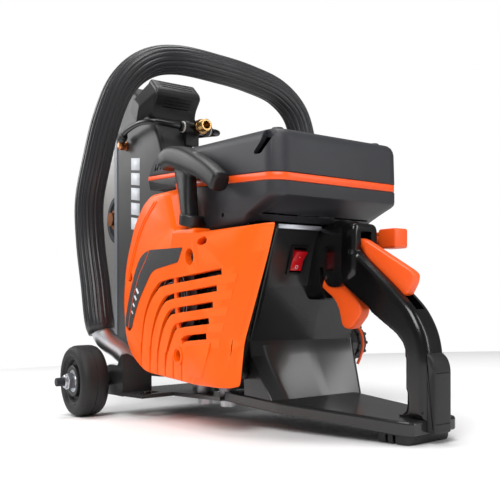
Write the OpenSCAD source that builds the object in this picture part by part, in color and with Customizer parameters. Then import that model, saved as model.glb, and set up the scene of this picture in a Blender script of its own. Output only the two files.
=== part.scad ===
/* [Stance] */
// Nose-up angle of the saw on its wheels and rear foot, degrees
nose_up = 3.85; // [0:0.05:6]
// Shift forward of the whole saw, so that the frame's origin is under its middle
shift_x = -407.05; // [-450:0.01:-380]
// Shift to the left of the whole saw
shift_y = 17.85; // [0:0.01:40]

/* [Cutting disc and guard] */
// Disc diameter
disc_d = 350; // [300:10:350]
// Spindle position forward of the datum behind the handle
spindle_x = 642; // [640:1:650]
// Spindle height above the tank's underside
spindle_z = 214; // [210:1:218]
// Middle plane of the disc, to the right of the rear handle
disc_y = -25; // [-26:1:-24]
// Outer radius of the guard
guard_r = 194; // [190:1:200]
// Width of the guard across the disc
guard_w = 50; // [48:1:52]

/* [Engine] */
// Crankshaft position forward of the datum
crank_x = 262; // [258:1:266]
// Crankshaft height
crank_z = 100; // [98:1:102]
// Flywheel radius
flywheel_r = 50; // [46:1:50]

/* [Covers] */
// Left face of the starter cover
starter_y = 100; // [99:1:101]
// Left face of the filter cover
filter_left = 80; // [78:1:80]
// Right face of the filter cover
filter_right = -66; // [-68:1:-64]
// Wall thickness of moulded covers
wall = 3; // [2.5:0.5:3.5]

/* [Handles] */
// Outer diameter of the front handle tube
tube_d = 24; // [22:1:25]
// Outer diameter of the front handle's rubber grip
grip_d = 34; // [32:1:36]
// Width of the rear handle
handle_w = 24; // [24:1:28]

/* [Wheels] */
// Wheel diameter
wheel_d = 80; // [76:1:80]
// Wheel width
wheel_w = 32; // [28:1:32]
// Axle position forward of the datum
axle_x = 430; // [425:1:435]
// Axle height above the tank's underside
axle_z = 5.3; // [5:0.1:6]
// Outer face of each wheel, from the middle
wheel_y = 133; // [130:1:135]

/* [Fits] */
// Radial clearance of a running fit
run = 0.05; // [0.03:0.01:0.08]

/* [Hidden] */
$fn = 64;

wheel_r = wheel_d / 2;
drop = axle_x * sin(nose_up) + axle_z * cos(nose_up) - wheel_r;
function ground(x) = (drop - x * sin(nose_up)) / cos(nose_up);

belt_y = -96;
belt_w = 14;
clutch_r = 30;
blade_pulley_r = 36;
bolt_r = 5;

// ---- helpers ----
// Puts a piece drawn in the saw's own frame onto the ground
module stand() {
  translate([shift_x, shift_y, -drop]) rotate([0, -nose_up, 0]) children();
}

// Extrudes an outline drawn in X and Z from y0 to y1
module slab(y0, y1) {
  translate([0, y1, 0]) rotate([90, 0, 0]) linear_extrude(y1 - y0) children();
}

// A round bar along Y
module bar(x, z, y0, y1, r) {
  translate([x, y1, z]) rotate([90, 0, 0]) cylinder(r = r, h = y1 - y0);
}

// A hexagonal bar along Y
module hex_bar(x, z, y0, y1, flats) {
  translate([x, y1, z]) rotate([90, 0, 0]) cylinder(d = flats / cos(30), h = y1 - y0, $fn = 6);
}

function unit(v) = v / norm(v);

// A point on a smooth curve through p1 and p2
function spline(p0, p1, p2, p3, t) =
  0.5 * (2 * p1 + (p2 - p0) * t + (2 * p0 - 5 * p1 + 4 * p2 - p3) * t * t
  + (3 * p1 - p0 - 3 * p2 + p3) * t * t * t);

function smooth(p, steps) = [
  for (i = [0 : len(p) - 2]) for (k = [0 : steps - 1])
    spline(p[max(i - 1, 0)], p[i], p[i + 1], p[min(i + 2, len(p) - 1)], k / steps),
  p[len(p) - 1]
];

// A round bar swept along a path; side is a direction that the path never follows
module sweep(path, r, side, n = 20) {
  m = len(path);
  rings = [for (i = [0 : m - 1])
    let (
      t = unit(path[min(i + 1, m - 1)] - path[max(i - 1, 0)]),
      a = unit(cross(t, side)),
      b = cross(t, a)
    )
    for (k = [0 : n - 1]) path[i] + r * (cos(360 * k / n) * a + sin(360 * k / n) * b)];
  sides = [for (i = [0 : m - 2]) for (k = [0 : n - 1])
    [i * n + k, i * n + (k + 1) % n, (i + 1) * n + (k + 1) % n, (i + 1) * n + k]];
  ends = [[for (k = [n - 1 : -1 : 0]) k], [for (k = [0 : n - 1]) (m - 1) * n + k]];
  polyhedron(rings, concat(sides, ends));
}

// A thick-walled tube swept along a path
module sleeve(path, r_out, r_in, side, n = 20) {
  m = len(path);
  rings = [for (i = [0 : m - 1])
    let (
      t = unit(path[min(i + 1, m - 1)] - path[max(i - 1, 0)]),
      a = unit(cross(t, side)),
      b = cross(t, a)
    )
    for (r = [r_out, r_in]) for (k = [0 : n - 1])
      path[i] + r * (cos(360 * k / n) * a + sin(360 * k / n) * b)];
  w = 2 * n;
  outside = [for (i = [0 : m - 2]) for (k = [0 : n - 1]) let (q = (k + 1) % n)
    [i * w + k, i * w + q, (i + 1) * w + q, (i + 1) * w + k]];
  inside = [for (i = [0 : m - 2]) for (k = [0 : n - 1]) let (q = (k + 1) % n)
    [i * w + n + k, (i + 1) * w + n + k, (i + 1) * w + n + q, i * w + n + q]];
  ends = [for (k = [0 : n - 1]) let (q = (k + 1) % n, e = (m - 1) * w)
    each [[k, k + n, q + n, q], [e + k, e + q, e + q + n, e + k + n]]];
  polyhedron(rings, concat(outside, inside, ends));
}

// ---- tank and rear handle ----
cap_x = 190;
cap_z = 56;
wall_lean = 20.4;

module tank_housing() {
  color("#17181a") stand() difference() {
    union() {
      intersection() {
        slab(-50, 50) polygon([[20, 2], [34, 0], [240, 0], [240, 9], [60, 9], [20, 12]]);
        translate([0, 0, -5]) linear_extrude(30) base_plan();
      }
      slab(-58, 48) polygon([[145, 0], [240, 0], [240, 9], [213, 12], [206, 168], [159, 166],
        [197, 64], [182, 61], [147, 9]]);
      bar(cap_x, cap_z, -66, -50, 16);
    }
    slab(-54, 44) polygon([[154, 6], [208, 6], [206, 56], [187, 57]]);
    slab(-54, 18) polygon([[172, 161], [200, 84], [203, 84], [200, 162]]);
    bar(cap_x + 2, cap_z - 6, -67, -50, 9);
    translate([171, 30, 134]) rotate([0, -wall_lean, 0]) cube([14, 13, 21], center = true);
  }
}

// The base plate narrows towards the handle's post
module base_plan() {
  polygon([[20, -24], [30, -28], [150, -49], [240, -49], [240, 49], [150, 49], [30, 28], [20, 24]]);
}

module fuel_cap() {
  color("#1b1b1d") stand() difference() {
    union() {
      bar(cap_x, cap_z, -78, -66.4, 17);
      for (a = [0 : 30 : 330])
        translate([cap_x + 16.6 * cos(a), -66.4, cap_z + 16.6 * sin(a)])
          rotate([90, 0, 0]) cylinder(r = 1.6, h = 11, $fn = 24);
    }
    bar(cap_x, cap_z, -79, -75, 12);
    bar(cap_x, cap_z, -71, -66, 13);
  }
}

module cap_tether() {
  color("#ff6a28") stand() sweep(smooth([[cap_x - 22, -59.6, cap_z - 20], [cap_x - 24, -62, cap_z - 12],
    [cap_x - 25, -64, cap_z], [cap_x - 22, -63, cap_z + 13], [cap_x - 12, -60.6, cap_z + 21]], 4),
    1.4, [0, 1, 0], 10);
}

module handle_outline() {
  polygon([[21, 12.2], [21, 56], [25, 76], [36, 93], [55, 108], [88, 133], [94, 142], [94, 164], [146, 164],
    [150, 157], [159, 157], [170, 130], [176, 113], [112, 111], [80, 90], [50, 73], [43, 66], [42, 56],
    [42, 10.6]]);
}

module rear_handle() {
  color("#141416") stand() difference() {
    union() {
      slab(-handle_w / 2, handle_w / 2) handle_outline();
      slab(-20, 20) polygon([[104, 120], [104, 164], [146, 164], [150, 157], [159, 157], [172, 122]]);
    }
    // Slots for the trigger and the lockout
    slab(-7, 7) polygon([[84, 84], [84, 106], [118, 126], [150, 128], [150, 96]]);
    slab(-5, 5) polygon([[34, 97], [52, 88], [106, 131], [106, 157], [86, 157], [84, 140]]);
    bar(138, 120, -30, 30, 2.5);
    bar(99, 140, -30, 30, 2.5);
    tank_cut();
  }
}

// Clears the handle's front end where the tank's switch wall stands
module tank_cut() {
  slab(-60, 60) polygon([[158.6, 166.4], [196.6, 64], [230, 64], [230, 180], [158.6, 180]]);
}

module handle_strip() {
  color("#26272a") stand() union() {
    slab(-8, 8) polygon([[17.5, 15], [17.5, 54], [21, 60], [21, 13]]);
    for (z = [18 : 5 : 50]) slab(-7, 7) polygon([[16.3, z], [16.3, z + 2.4], [17.6, z + 3], [17.6, z - 0.6]]);
  }
}

module rear_foot() {
  color("#202124") stand() union() {
    slab(-25, 25) polygon([[26, 1], [34, 0], [62, 0], [60, ground(60)], [28, ground(28)], [24, 0]]);
  }
}

module throttle_trigger() {
  color("#ff5a2a") stand() difference() {
    union() {
      slab(-5.5, 5.5) polygon([[145, 112], [138, 126], [131, 124], [98, 98], [96, 91], [109, 75.5], [120, 77],
        [128, 92]]);
      bar(138, 120, -5.5, 5.5, 6);
    }
    bar(138, 120, -10, 10, 2.5 + run);
  }
}

module throttle_lockout() {
  color("#ff7f38") stand() difference() {
    union() {
      slab(-4, 4) polygon([[104, 140], [104, 148], [100, 153], [41, 122], [39, 117], [47, 104], [50, 103]]);
      bar(99, 140, -4, 4, 5.5);
    }
    bar(99, 140, -10, 10, 2.5 + run);
  }
}

module control_pins() {
  color("silver") stand() union() {
    bar(138, 120, -20, 20, 2.5);
    bar(99, 140, -12, 12, 2.5);
  }
}

module choke_knob() {
  color("#ff7f38") stand() union() {
    translate([97, -34, 153]) cube([20, 16, 17], center = true);
    translate([84, -41, 160]) cube([8, 14, 3]);
    translate([107, -34, 155]) rotate([0, 90, 0]) cylinder(r = 4, h = 50);
  }
}

// ---- switch ----
// Puts a piece on the switch wall, with +X out of the wall
module on_wall() {
  translate([171, 30, 134]) rotate([0, -wall_lean, 0]) mirror([1, 0, 0]) children();
}

module switch_bezel() {
  color("#0f1012") stand() on_wall() difference() {
    translate([0.2, -9, -13]) cube([3, 18, 26]);
    translate([-1, -6.6, -10.6]) cube([6, 13.2, 21.2]);
    translate([1.6, 10, 0]) rotate([90, 0, 0]) cylinder(r = 1, h = 20);
  }
}

module switch_rocker() {
  color("#e8202c") stand() on_wall() union() {
    translate([0, 6, 0]) rotate([90, 0, 0]) linear_extrude(12)
      polygon([[0.4, -9.6], [3.4, -9.6], [3.2, 0], [6.6, 9.4], [0.4, 9.6]]);
    translate([1.6, 8.6, 0]) rotate([90, 0, 0]) cylinder(r = 1 - run, h = 17.2);
  }
}

// ---- filter cover ----
module filter_plan(d) {
  polygon([[115.6 + d, -56 + d / 2], [126 + d / 2, filter_right + d], [285, filter_right + d],
    [318, filter_right + 22 + d], [326 - d, filter_right + 40], [326 - d, filter_left - 36],
    [318, filter_left - 20 - d], [285, filter_left - d], [126 + d / 2, filter_left - d],
    [115.6 + d, 70 - d / 2]]);
}

module filter_side(d) {
  polygon([[151 + d, 158 - 4 * d], [152 + d, 166], [115.6 + d, 187], [115.6 + d, 231], [121 + d, 239 - d],
    [190, 245 - d], [262, 248 - d], [296, 246 - d], [316 - d, 236 - d], [326 - d, 214], [326 - d, 200],
    [316, 196], [300, 166], [300, 158 - 4 * d]]);
}

module filter_cover() {
  color("#3c3e42") stand() difference() {
    intersection() {
      slab(filter_right, filter_left) filter_side(0);
      translate([0, 0, 150]) linear_extrude(120) filter_plan(0);
    }
    intersection() {
      slab(filter_right + wall, filter_left - wall) filter_side(wall);
      translate([0, 0, 120]) linear_extrude(140) filter_plan(wall);
    }
    // Nose vents
    for (i = [0 : 4]) translate([292 + 5 * i, filter_left - 40, 218 + i]) cube([2.4, 60, 14]);
    // Space for the choke rod
    translate([100, -34, 155]) rotate([0, 90, 0]) cylinder(r = 6, h = 60);
    // Screw holes in the roof corners
    for (x = [136, 272]) for (y = [filter_left - 17, filter_right + 17]) translate([x, y, 225]) cylinder(r = 3, h = 40);
  }
}

module cover_stripe() {
  color("#ff6a28") stand() difference() {
    intersection() {
      slab(filter_right - 1, filter_left + 1) polygon([[112, 198], [118, 197], [290, 206], [310, 212],
        [330, 212], [330, 219], [308, 219], [290, 213], [118, 204], [112, 204]]);
      translate([0, 0, 150]) linear_extrude(120) filter_plan(-0.5);
    }
    translate([0, 0, 150]) linear_extrude(120) filter_plan(0);
  }
}

module cover_screws() {
  color("#7a7c80") stand() union() {
    for (x = [136, 272]) for (y = [filter_left - 17, filter_right + 17]) translate([x, y, 0]) {
      translate([0, 0, 196]) cylinder(r = 2.6, h = x < 200 ? 47 : 53.2);
      translate([0, 0, x < 200 ? 242.3 : 248.6]) difference() {
        cylinder(r = 5, h = 3.6);
        translate([0, 0, 1.6]) cylinder(d = 5, h = 3, $fn = 6);
      }
    }
  }
}

module filter_element() {
  color("#d8c9a0") stand() union() {
    translate([134, -38, 203]) cube([72, 84, 5]);
    for (i = [0 : 11]) translate([136 + 6 * i, -36, 208]) cube([2.4, 80, 18]);
    translate([134, -38, 226]) cube([72, 84, 3]);
  }
}

module carburettor() {
  color("#9a9da0") stand() difference() {
    union() {
      translate([160, -22, 170]) cube([42, 44, 32.5]);
      translate([202, 0, 184]) rotate([0, 90, 0]) cylinder(r = 15, h = 15.8);
      translate([170, 22, 184]) rotate([-90, 0, 0]) cylinder(r = 7, h = 10);
    }
    translate([150, 0, 184]) rotate([0, 90, 0]) cylinder(r = 9, h = 90);
  }
}

// ---- starter ----
pull_x = 229;
pull_y = 93;
pull_lean = 13;

starter_bosses = [[240, 47], [346, 70], [344, 122], [219, 138]];

module starter_outer() {
  polygon([[150, 30], [200, 23], [312, 25], [345, 40], [358, 60], [361, 92], [357, 132], [338, 166],
    [318, 193], [300, 200],
    [256, 203], [242, 160], [200, 158], [108, 160], [112, 146]]);
}

module starter_base() {
  polygon([[148, 26], [200, 19], [330, 19], [372, 42], [390, 70], [394, 95], [388, 138], [362, 186],
    [316, 208],
    [250, 208], [236, 164], [200, 162], [106, 163], [110, 144]]);
}

module starter_mid() {
  polygon([[149, 28], [200, 21], [322, 22], [358, 38], [374, 62], [378, 93], [372, 134], [350, 178],
    [310, 204],
    [252, 206], [238, 162], [200, 160], [107, 162], [111, 145]]);
}

// One bent cooling slot: a sloping run, then a drop towards the bottom front
module louvre(i) {
  x0 = 176 + 6 * i;
  z0 = 127 - 12 * i;
  x1 = 302 - 12 * i;
  z1 = z0 - 9 + i;
  zb = 50 - 4 * i;
  polygon([[x0, z0], [x1 - 8, z1], [x1, z1 - 8], [x1 - 4, zb], [x1 - 10, zb - 2], [x1 - 7, z1 - 10],
    [x1 - 12, z1 - 6], [x0 + 3, z0 - 6.5]]);
}

module starter_cover() {
  color("#ff6420") stand() difference() {
    union() {
      difference() {
        union() {
          slab(52, 74) starter_base();
          slab(74, 88) starter_mid();
          slab(88, starter_y) starter_outer();
        }
        slab(51, 96) starter_room();
        slab(51, filter_left + 1) filter_clearance();
      }
      bar(crank_x, crank_z, 84, starter_y - 1, 6);
      // Socket under the pull handle
      translate([pull_x, pull_y, 151]) rotate([0, -pull_lean, 0]) cylinder(r = 9.5, h = 15);
      for (p = starter_bosses) bar(p[0], p[1], 52, 98, 6);
    }
    for (i = [0 : 4]) slab(94, starter_y + 1) louvre(i);
    for (p = starter_bosses) {
      bar(p[0], p[1], 51, starter_y + 1, 2.7);
      bar(p[0], p[1], 92, starter_y + 1, 5);
    }
    bar(197, 151, 94, starter_y + 1, 4);
    translate([pull_x, pull_y, 167]) rotate([0, -pull_lean, 0]) translate([0, 0, -34]) cylinder(r = 2.2, h = 60);
  }
}

// Keeps the starter cover's top edge clear of the filter cover's skirt
module filter_clearance() {
  polygon([[100, 157.5], [300.5, 157.5], [300.5, 165.5], [316.5, 195.5], [327, 199.5], [327, 260],
    [100, 260]]);
}

// Hollow inside of the starter cover
module starter_room() {
  polygon([[156, 34], [200, 27], [310, 29], [340, 44], [353, 62], [356, 92], [352, 131], [333, 163],
    [313, 189], [298, 196],
    [260, 198], [246, 157], [200, 154], [122, 155]]);
}

module starter_decal() {
  color("#2f3136") stand() slab(starter_y + 0.02, starter_y + 0.7)
    polygon([[231, 148], [300, 149], [320, 142], [331, 128], [345, 102], [354, 78], [355, 69], [338, 67],
      [335, 77], [323, 97], [308, 113], [296, 125], [287, 129], [239, 134]]);
}

module starter_screws() {
  color("#55585c") stand() union() {
    for (p = starter_bosses) {
      bar(p[0], p[1], 52, 92, 2.6);
      difference() {
        bar(p[0], p[1], 92, 96, 4.6);
        hex_bar(p[0], p[1], 93.5, 97, 4);
      }
    }
  }
}

module rope_reel() {
  color("#d9d9d6") stand() difference() {
    union() {
      bar(crank_x, crank_z, 84.5, 86, 42);
      bar(crank_x, crank_z, 86, 90, 36);
      bar(crank_x, crank_z, 90, 91.5, 42);
      bar(crank_x, crank_z, 80.5, 84.5, 14);
    }
    bar(crank_x, crank_z, 80, 92, 6 + run);
    for (a = [0 : 60 : 300]) bar(crank_x + 24 * cos(a), crank_z + 24 * sin(a), 84, 92, 7);
  }
}

module recoil_spring() {
  turns = 5;
  n = turns * 16;
  outer = [for (i = [0 : n]) let (a = 360 * i / 16, r = 10 + 24 * i / n) [r * cos(a), r * sin(a)]];
  inner = [for (i = [n : -1 : 0]) let (a = 360 * i / 16, r = 9.2 + 24 * i / n) [r * cos(a), r * sin(a)]];
  color("#8d9094") stand() translate([crank_x, 0, crank_z]) slab(92, 95.6) polygon(concat(outer, inner));
}

module pull_handle() {
  color("#3a3b3f") stand() translate([pull_x, pull_y, 167]) rotate([0, -pull_lean, 0]) union() {
    cylinder(r = 11, h = 9);
    translate([0, 0, 9]) cylinder(r1 = 9, r2 = 8, h = 36);
    // Cross grip, lower at its rear end
    translate([0, 0, 50]) rotate([0, -25 + pull_lean, 0]) {
      translate([-56, 0, 0]) rotate([0, 90, 0]) cylinder(r1 = 9, r2 = 11, h = 56);
      rotate([0, 90, 0]) cylinder(r1 = 11, r2 = 10, h = 52);
    }
    translate([0, 0, -30]) cylinder(r = 1.75, h = 31);
  }
}

// ---- engine ----
module flywheel() {
  color("#a9acb0") stand() difference() {
    union() {
      bar(crank_x, crank_z, 58, 66, flywheel_r - 12);
      for (a = [0 : 20 : 340])
        translate([crank_x, 0, crank_z]) rotate([0, a, 0]) translate([36, 64, -1.5]) cube([flywheel_r - 36, 14, 3]);
      bar(crank_x, crank_z, 64, 70, 20);
      bar(crank_x, crank_z, 58, 62, flywheel_r);
    }
    bar(crank_x, crank_z, 50, 90, 9);
  }
}

module crankshaft() {
  color("#c6c8ca") stand() difference() {
    union() {
      bar(crank_x, crank_z, -106, -19.5, 9);
      bar(crank_x, crank_z, 19.5, 74, 9);
      for (y = [-19, 7]) bar(crank_x, crank_z, y, y + 12, 38);
      bar(crank_x, crank_z, -20, -18, 12);
      bar(crank_x, crank_z, 18, 20, 12);
      bar(crank_x, crank_z + 22, -8, 8, 8);
    }
    for (y = [-20, 6]) translate([crank_x - 40, y, crank_z + 34]) cube([80, 14, 10]);
  }
}

module crankcase() {
  color("#85888b") stand() difference() {
    union() {
      slab(-50, 51.5) polygon([[214, 34], [232, 12], [316, 12], [336, 40], [336, 120], [312, 142], [222, 142],
        [214, 120]]);
      bar(crank_x, crank_z, -65.8, -50, 44);
      // Feet for the wheel bracket
      for (x = bolt_xs) for (s = [-1, 1]) translate([x, s * 34, bracket_top(x - 9)]) cylinder(r = 9, h = 14);
    }
    bar(crank_x, crank_z, -22, 22, 42);
    bar(crank_x, crank_z, -70, 60, 9 + run);
    translate([crank_x, 0, 100]) cylinder(r = 24, h = 60);
    for (x = bolt_xs) for (s = [-1, 1]) translate([x, s * 34, -20]) cylinder(r = 3.9, h = 42);
  }
}

module cylinder_block() {
  color("#b4b7ba") stand() difference() {
    union() {
      translate([crank_x, 0, 142]) cylinder(r = 30, h = 62);
      for (z = [148 : 8 : 204]) translate([crank_x - 40, -40, z]) cube([80, 80, 3]);
      translate([crank_x - 44, -12, 172]) cube([16, 24, 24]);
      translate([crank_x + 28, -16, 160]) cube([20, 32, 22]);
    }
    translate([crank_x, 0, 140]) cylinder(r = 23, h = 58);
    translate([crank_x, 0, 190]) cylinder(r = 5, h = 30);
  }
}

module spark_plug() {
  color("#e9e6df") stand() union() {
    translate([crank_x, 0, 198]) cylinder(r = 4.95, h = 12);
    translate([crank_x, 0, 208]) cylinder(d = 16, h = 6, $fn = 6);
    translate([crank_x, 0, 214]) cylinder(r = 6, h = 22);
  }
}

module muffler() {
  color("#2a2b2d") stand() difference() {
    union() {
      slab(-46, 46) polygon([[342, 70], [350, 60], [376, 60], [384, 70], [384, 150], [374, 160], [344, 160]]);
      translate([310, -16, 157]) cube([50, 32, 24]);
      for (y = [-30 : 20 : 30]) translate([384, y - 6, 74]) cube([3, 12, 66]);
    }
    slab(-43, 43) polygon([[345, 72], [352, 63], [374, 63], [381, 72], [381, 149], [372, 157], [345, 157]]);
    translate([300, -10, 165]) cube([50, 20, 12]);
    translate([360, -60, 84]) rotate([-90, 0, 0]) cylinder(r = 8, h = 20);
  }
}

// ---- front handle ----
grip_path = [[428, 96, 60], [449, 96, 120], [463, 96, 168], [466, 96, 215], [456, 90, 262],
  [440, 73, 310], [420, 50, 352], [403, 26, 375], [396, -4, 381], [396, -46, 380], [396, -90, 377],
  [394, -130, 367], [391, -158, 344], [386, -168, 310], [378, -168, 262]];
tube_low = [[428, 96, 60], [419, 79, 40], [410, 60, 24], [400, 30, 18], [394, -10, 17]];
tube_right = [[378, -168, 262], [366, -163, 216], [352, -150, 178], [338, -137, 152], [326, -131, 138]];
tube_path = [tube_low[4], tube_low[3], tube_low[2], tube_low[1], for (p = grip_path) p,
  tube_right[1], tube_right[2], tube_right[3], tube_right[4]];

// The grip follows the tube's own curve from its left end to its right end
tube_line = smooth(tube_path, 4);
grip_line = [for (i = [16 : 72]) tube_line[i]];

module front_handle_tube() {
  color("#c9cbce") stand() sweep(tube_line, tube_d / 2, [1, 0, 0], 24);
}

module front_handle_grip() {
  color("#1e1f22") stand() sleeve(grip_line, grip_d / 2, tube_d / 2 + 0.1, [1, 0, 0], 24);
}

module handle_clamps() {
  color("#2b2c2f") stand() union() {
    translate([380, -26, -4.8]) cube([28, 13.5, 34]);
    translate([300, -142, 104]) cube([34, 27.6, 25.4]);
  }
}

// ---- cutting arm and drive ----
arm_a = atan2(spindle_z - crank_z, spindle_x - crank_x);
arm_l = norm([spindle_z - crank_z, spindle_x - crank_x]);

// Outline round two circles joined by their outer tangents
module link(r0, r1, steps = 28) {
  s = asin((r1 - r0) / arm_l);
  c0 = [crank_x, crank_z];
  c1 = [spindle_x, spindle_z];
  rear = 180 - 2 * s;
  front = 180 + 2 * s;
  polygon([
    for (i = [0 : steps]) let (a = arm_a + 90 + s + rear * i / steps) c0 + r0 * [cos(a), sin(a)],
    for (i = [0 : steps]) let (a = arm_a - 90 - s + front * i / steps) c1 + r1 * [cos(a), sin(a)]
  ]);
}

module cutting_arm() {
  color("#8b8e92") stand() difference() {
    union() {
      slab(-80, -66) link(50, 46);
      bar(spindle_x, spindle_z, -66, -44, 35);
      bar(spindle_x, spindle_z, -66, -52, 42);
    }
    bar(crank_x, crank_z, -82, -60, 34);
    bar(spindle_x, spindle_z, -90, -40, 17.5);
    translate([(crank_x + spindle_x) / 2, -73, (crank_z + spindle_z) / 2]) rotate([0, -arm_a, 0])
      cube([150, 30, 40], center = true);
  }
}

module belt_cover() {
  color("#33353a") stand() difference() {
    slab(-114, -80.4) link(50, 46);
    slab(-111, -80) link(47, 43);
    for (i = [0 : 4]) translate([340 + 26 * i, -120, crank_z + 16 + 7.8 * i]) rotate([0, -arm_a - 60, 0])
      cube([26, 12, 5]);
  }
}

module drive_belt() {
  color("#1a1a1c") stand() difference() {
    slab(belt_y - belt_w / 2, belt_y + belt_w / 2) link(clutch_r + 5, blade_pulley_r + 5);
    slab(belt_y - belt_w, belt_y + belt_w) link(clutch_r + 0.4, blade_pulley_r + 0.4);
  }
}

// A belt pulley with two rims
module pulley(x, z, r, bore) {
  difference() {
    union() {
      bar(x, z, belt_y - belt_w / 2 - 0.6, belt_y + belt_w / 2 + 0.6, r);
      bar(x, z, belt_y - belt_w / 2 - 3.4, belt_y - belt_w / 2 - 0.6, r + 4);
      bar(x, z, belt_y + belt_w / 2 + 0.6, belt_y + belt_w / 2 + 3.4, r + 4);
    }
    bar(x, z, belt_y - 30, belt_y + 30, bore);
    for (a = [0 : 60 : 300]) bar(x + 0.6 * r * cos(a), z + 0.6 * r * sin(a), belt_y - 30, belt_y + 30, 5);
  }
}

module clutch_pulley() {
  color("#a2a5a8") stand() pulley(crank_x, crank_z, clutch_r, 9 + run);
}

module blade_pulley() {
  color("#a2a5a8") stand() pulley(spindle_x, spindle_z, blade_pulley_r, 10);
}

module spindle_shaft() {
  color("#c6c8ca") stand() union() {
    bar(spindle_x, spindle_z, -108, disc_y + 8, 10);
    bar(spindle_x, spindle_z, -42, -34.2, 15);
  }
}

module spindle_bearings() {
  color("#b9bcc0") stand() union() {
    for (y = [-79, -57]) difference() {
      bar(spindle_x, spindle_z, y, y + 11, 17.5);
      bar(spindle_x, spindle_z, y - 1, y + 12, 10 + run);
    }
  }
}

module blade_flanges() {
  color("#3a3a3c") stand() difference() {
    union() {
      bar(spindle_x, spindle_z, -34, disc_y - 1.2, 36);
      bar(spindle_x, spindle_z, disc_y + 1.2, disc_y + 7, 36);
    }
    bar(spindle_x, spindle_z, -40, disc_y + 20, 10);
    slab(disc_y + 4, disc_y + 8) difference() {
      translate([spindle_x, spindle_z]) circle(r = 29);
      translate([spindle_x, spindle_z]) circle(r = 17);
    }
  }
}

module blade_bolt() {
  color("#8a5a34") stand() union() {
    bar(spindle_x, spindle_z, disc_y + 8, disc_y + 10.5, 15);
    hex_bar(spindle_x, spindle_z, disc_y + 10.5, disc_y + 18, 19);
  }
}

module blade_core() {
  color("#a8aca8") stand() difference() {
    bar(spindle_x, spindle_z, disc_y - 1.2, disc_y + 1.2, disc_d / 2 - 10);
    bar(spindle_x, spindle_z, disc_y - 5, disc_y + 5, 10);
    for (a = [0 : 15 : 345]) translate([spindle_x, 0, spindle_z]) rotate([0, a, 0])
      translate([disc_d / 2 - 22, disc_y - 5, -1.2]) cube([20, 10, 2.4]);
  }
}

module blade_rim() {
  color("#6f716f") stand() difference() {
    bar(spindle_x, spindle_z, disc_y - 1.6, disc_y + 1.6, disc_d / 2);
    bar(spindle_x, spindle_z, disc_y - 5, disc_y + 5, disc_d / 2 - 10);
    for (a = [0 : 15 : 345]) translate([spindle_x, 0, spindle_z]) rotate([0, a, 0])
      translate([disc_d / 2 - 9, disc_y - 5, -1.2]) cube([10, 10, 2.4]);
  }
}

// ---- guard ----
guard_y1 = disc_y + guard_w / 2;
guard_y0 = disc_y - guard_w / 2;

// Round outline of the guard with its open front cut off at x
module guard_disc(r, x) {
  translate([spindle_x, spindle_z]) intersection() {
    circle(r = r, $fn = 128);
    translate([-300, -300]) square([300 + x, 600]);
  }
}

module guard_shell() {
  color("#3a3c40") stand() difference() {
    union() {
      slab(guard_y1 - 2.5, guard_y1) guard_disc(guard_r, -34);
      slab(guard_y0, guard_y1) guard_disc(guard_r, -34);
      slab(guard_y0, guard_y0 + 3) guard_disc(guard_r, 12);
      bar(spindle_x, spindle_z, guard_y0, guard_y0 + 3, 48);
      slab(guard_y1 - 1, guard_y1 + 1.6) difference() {
        guard_disc(guard_r, -34);
        guard_disc(guard_r - 8, -42);
      }
    }
    slab(guard_y0 + 3, guard_y1 - 2.5) guard_disc(guard_r - 4, 30);
    bar(spindle_x, spindle_z, guard_y0 - 5, guard_y0 + 10, 35 + run);
  }
}

// Places a piece on the guard's rim, a degrees up from the front, with +X pointing out
module on_guard(a) {
  translate([spindle_x, 0, spindle_z]) rotate([0, -a, 0]) translate([guard_r, 0, 0]) children();
}

module guard_lever() {
  color("#26272a") stand() on_guard(134) difference() {
    union() {
      translate([-3, -54, -10]) cube([12, 46, 20]);
      translate([6, -66, -16]) cube([26, 66, 32]);
      for (z = [-9, 0, 9]) translate([31, -58, z - 1.5]) cube([2, 50, 3]);
    }
    translate([0, 0, 0]) mirror([1, 0, 0]) translate([0, -80, -20]) cube([20, 90, 40]);
  }
}

// ---- water kit ----
tee = [466, -52, 322];

module water_tee() {
  color("#17181a") stand() difference() {
    tee_body();
    bar(spindle_x, spindle_z, -100, 60, guard_r + 0.02);
  }
}

module tee_body() {
  union() {
    bar(tee[0], tee[2], -66, -34, 7.5);
    bar(tee[0], tee[2], -78, -28, 5.6);
    for (y = [-34, -66]) bar(tee[0], tee[2], y - 2, y + 2, 8.6);
    translate([tee[0] - 1, -50, tee[2] - 26]) cube([15, 16, 22]);
    translate([tee[0] - 10, tee[1], tee[2]]) rotate([0, 90, 0]) cylinder(r = 7.5, h = 10);
  }
}

module water_inlet() {
  color("#c9a24a") stand() translate([tee[0] - 28, tee[1], tee[2]]) rotate([0, 90, 0]) difference() {
    union() {
      cylinder(r = 8, h = 10);
      translate([0, 0, 10]) cylinder(d = 18, h = 7.8, $fn = 6);
    }
    translate([0, 0, -1]) cylinder(r = 5, h = 14);
  }
}

hose_left = [[466, -27.8, 322], [467, -12, 323], [474, 6, 325], [494, 13, 327], [522, 13, 327],
  [547, 12, 324], [560, 10, 318.5]];
hose_right = [[466, -78.2, 322], [468, -86, 322], [478, -92, 323], [500, -88, 325], [528, -74, 325],
  [547, -63, 323.5], [560, -60, 318.5]];

module water_hose_left() {
  color("#111214") stand() sweep(smooth(hose_left, 4), 3.6, [0, 0, 1], 14);
}

module water_hose_right() {
  color("#111214") stand() sweep(smooth(hose_right, 4), 3.6, [0, 0, 1], 14);
}

module spray_elbows() {
  color("#b07a4a") stand() union() {
    bar(568, 310, guard_y1 + 0.1, guard_y1 + 13, 6.4);
    bar(568, 310, guard_y0 - 13, guard_y0 - 0.1, 6.4);
  }
}

// ---- wheel kit ----
cheek_y = 88;
bracket_x = 398;
bracket_z = -9;
bolt_xs = [256, 300];

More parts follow.
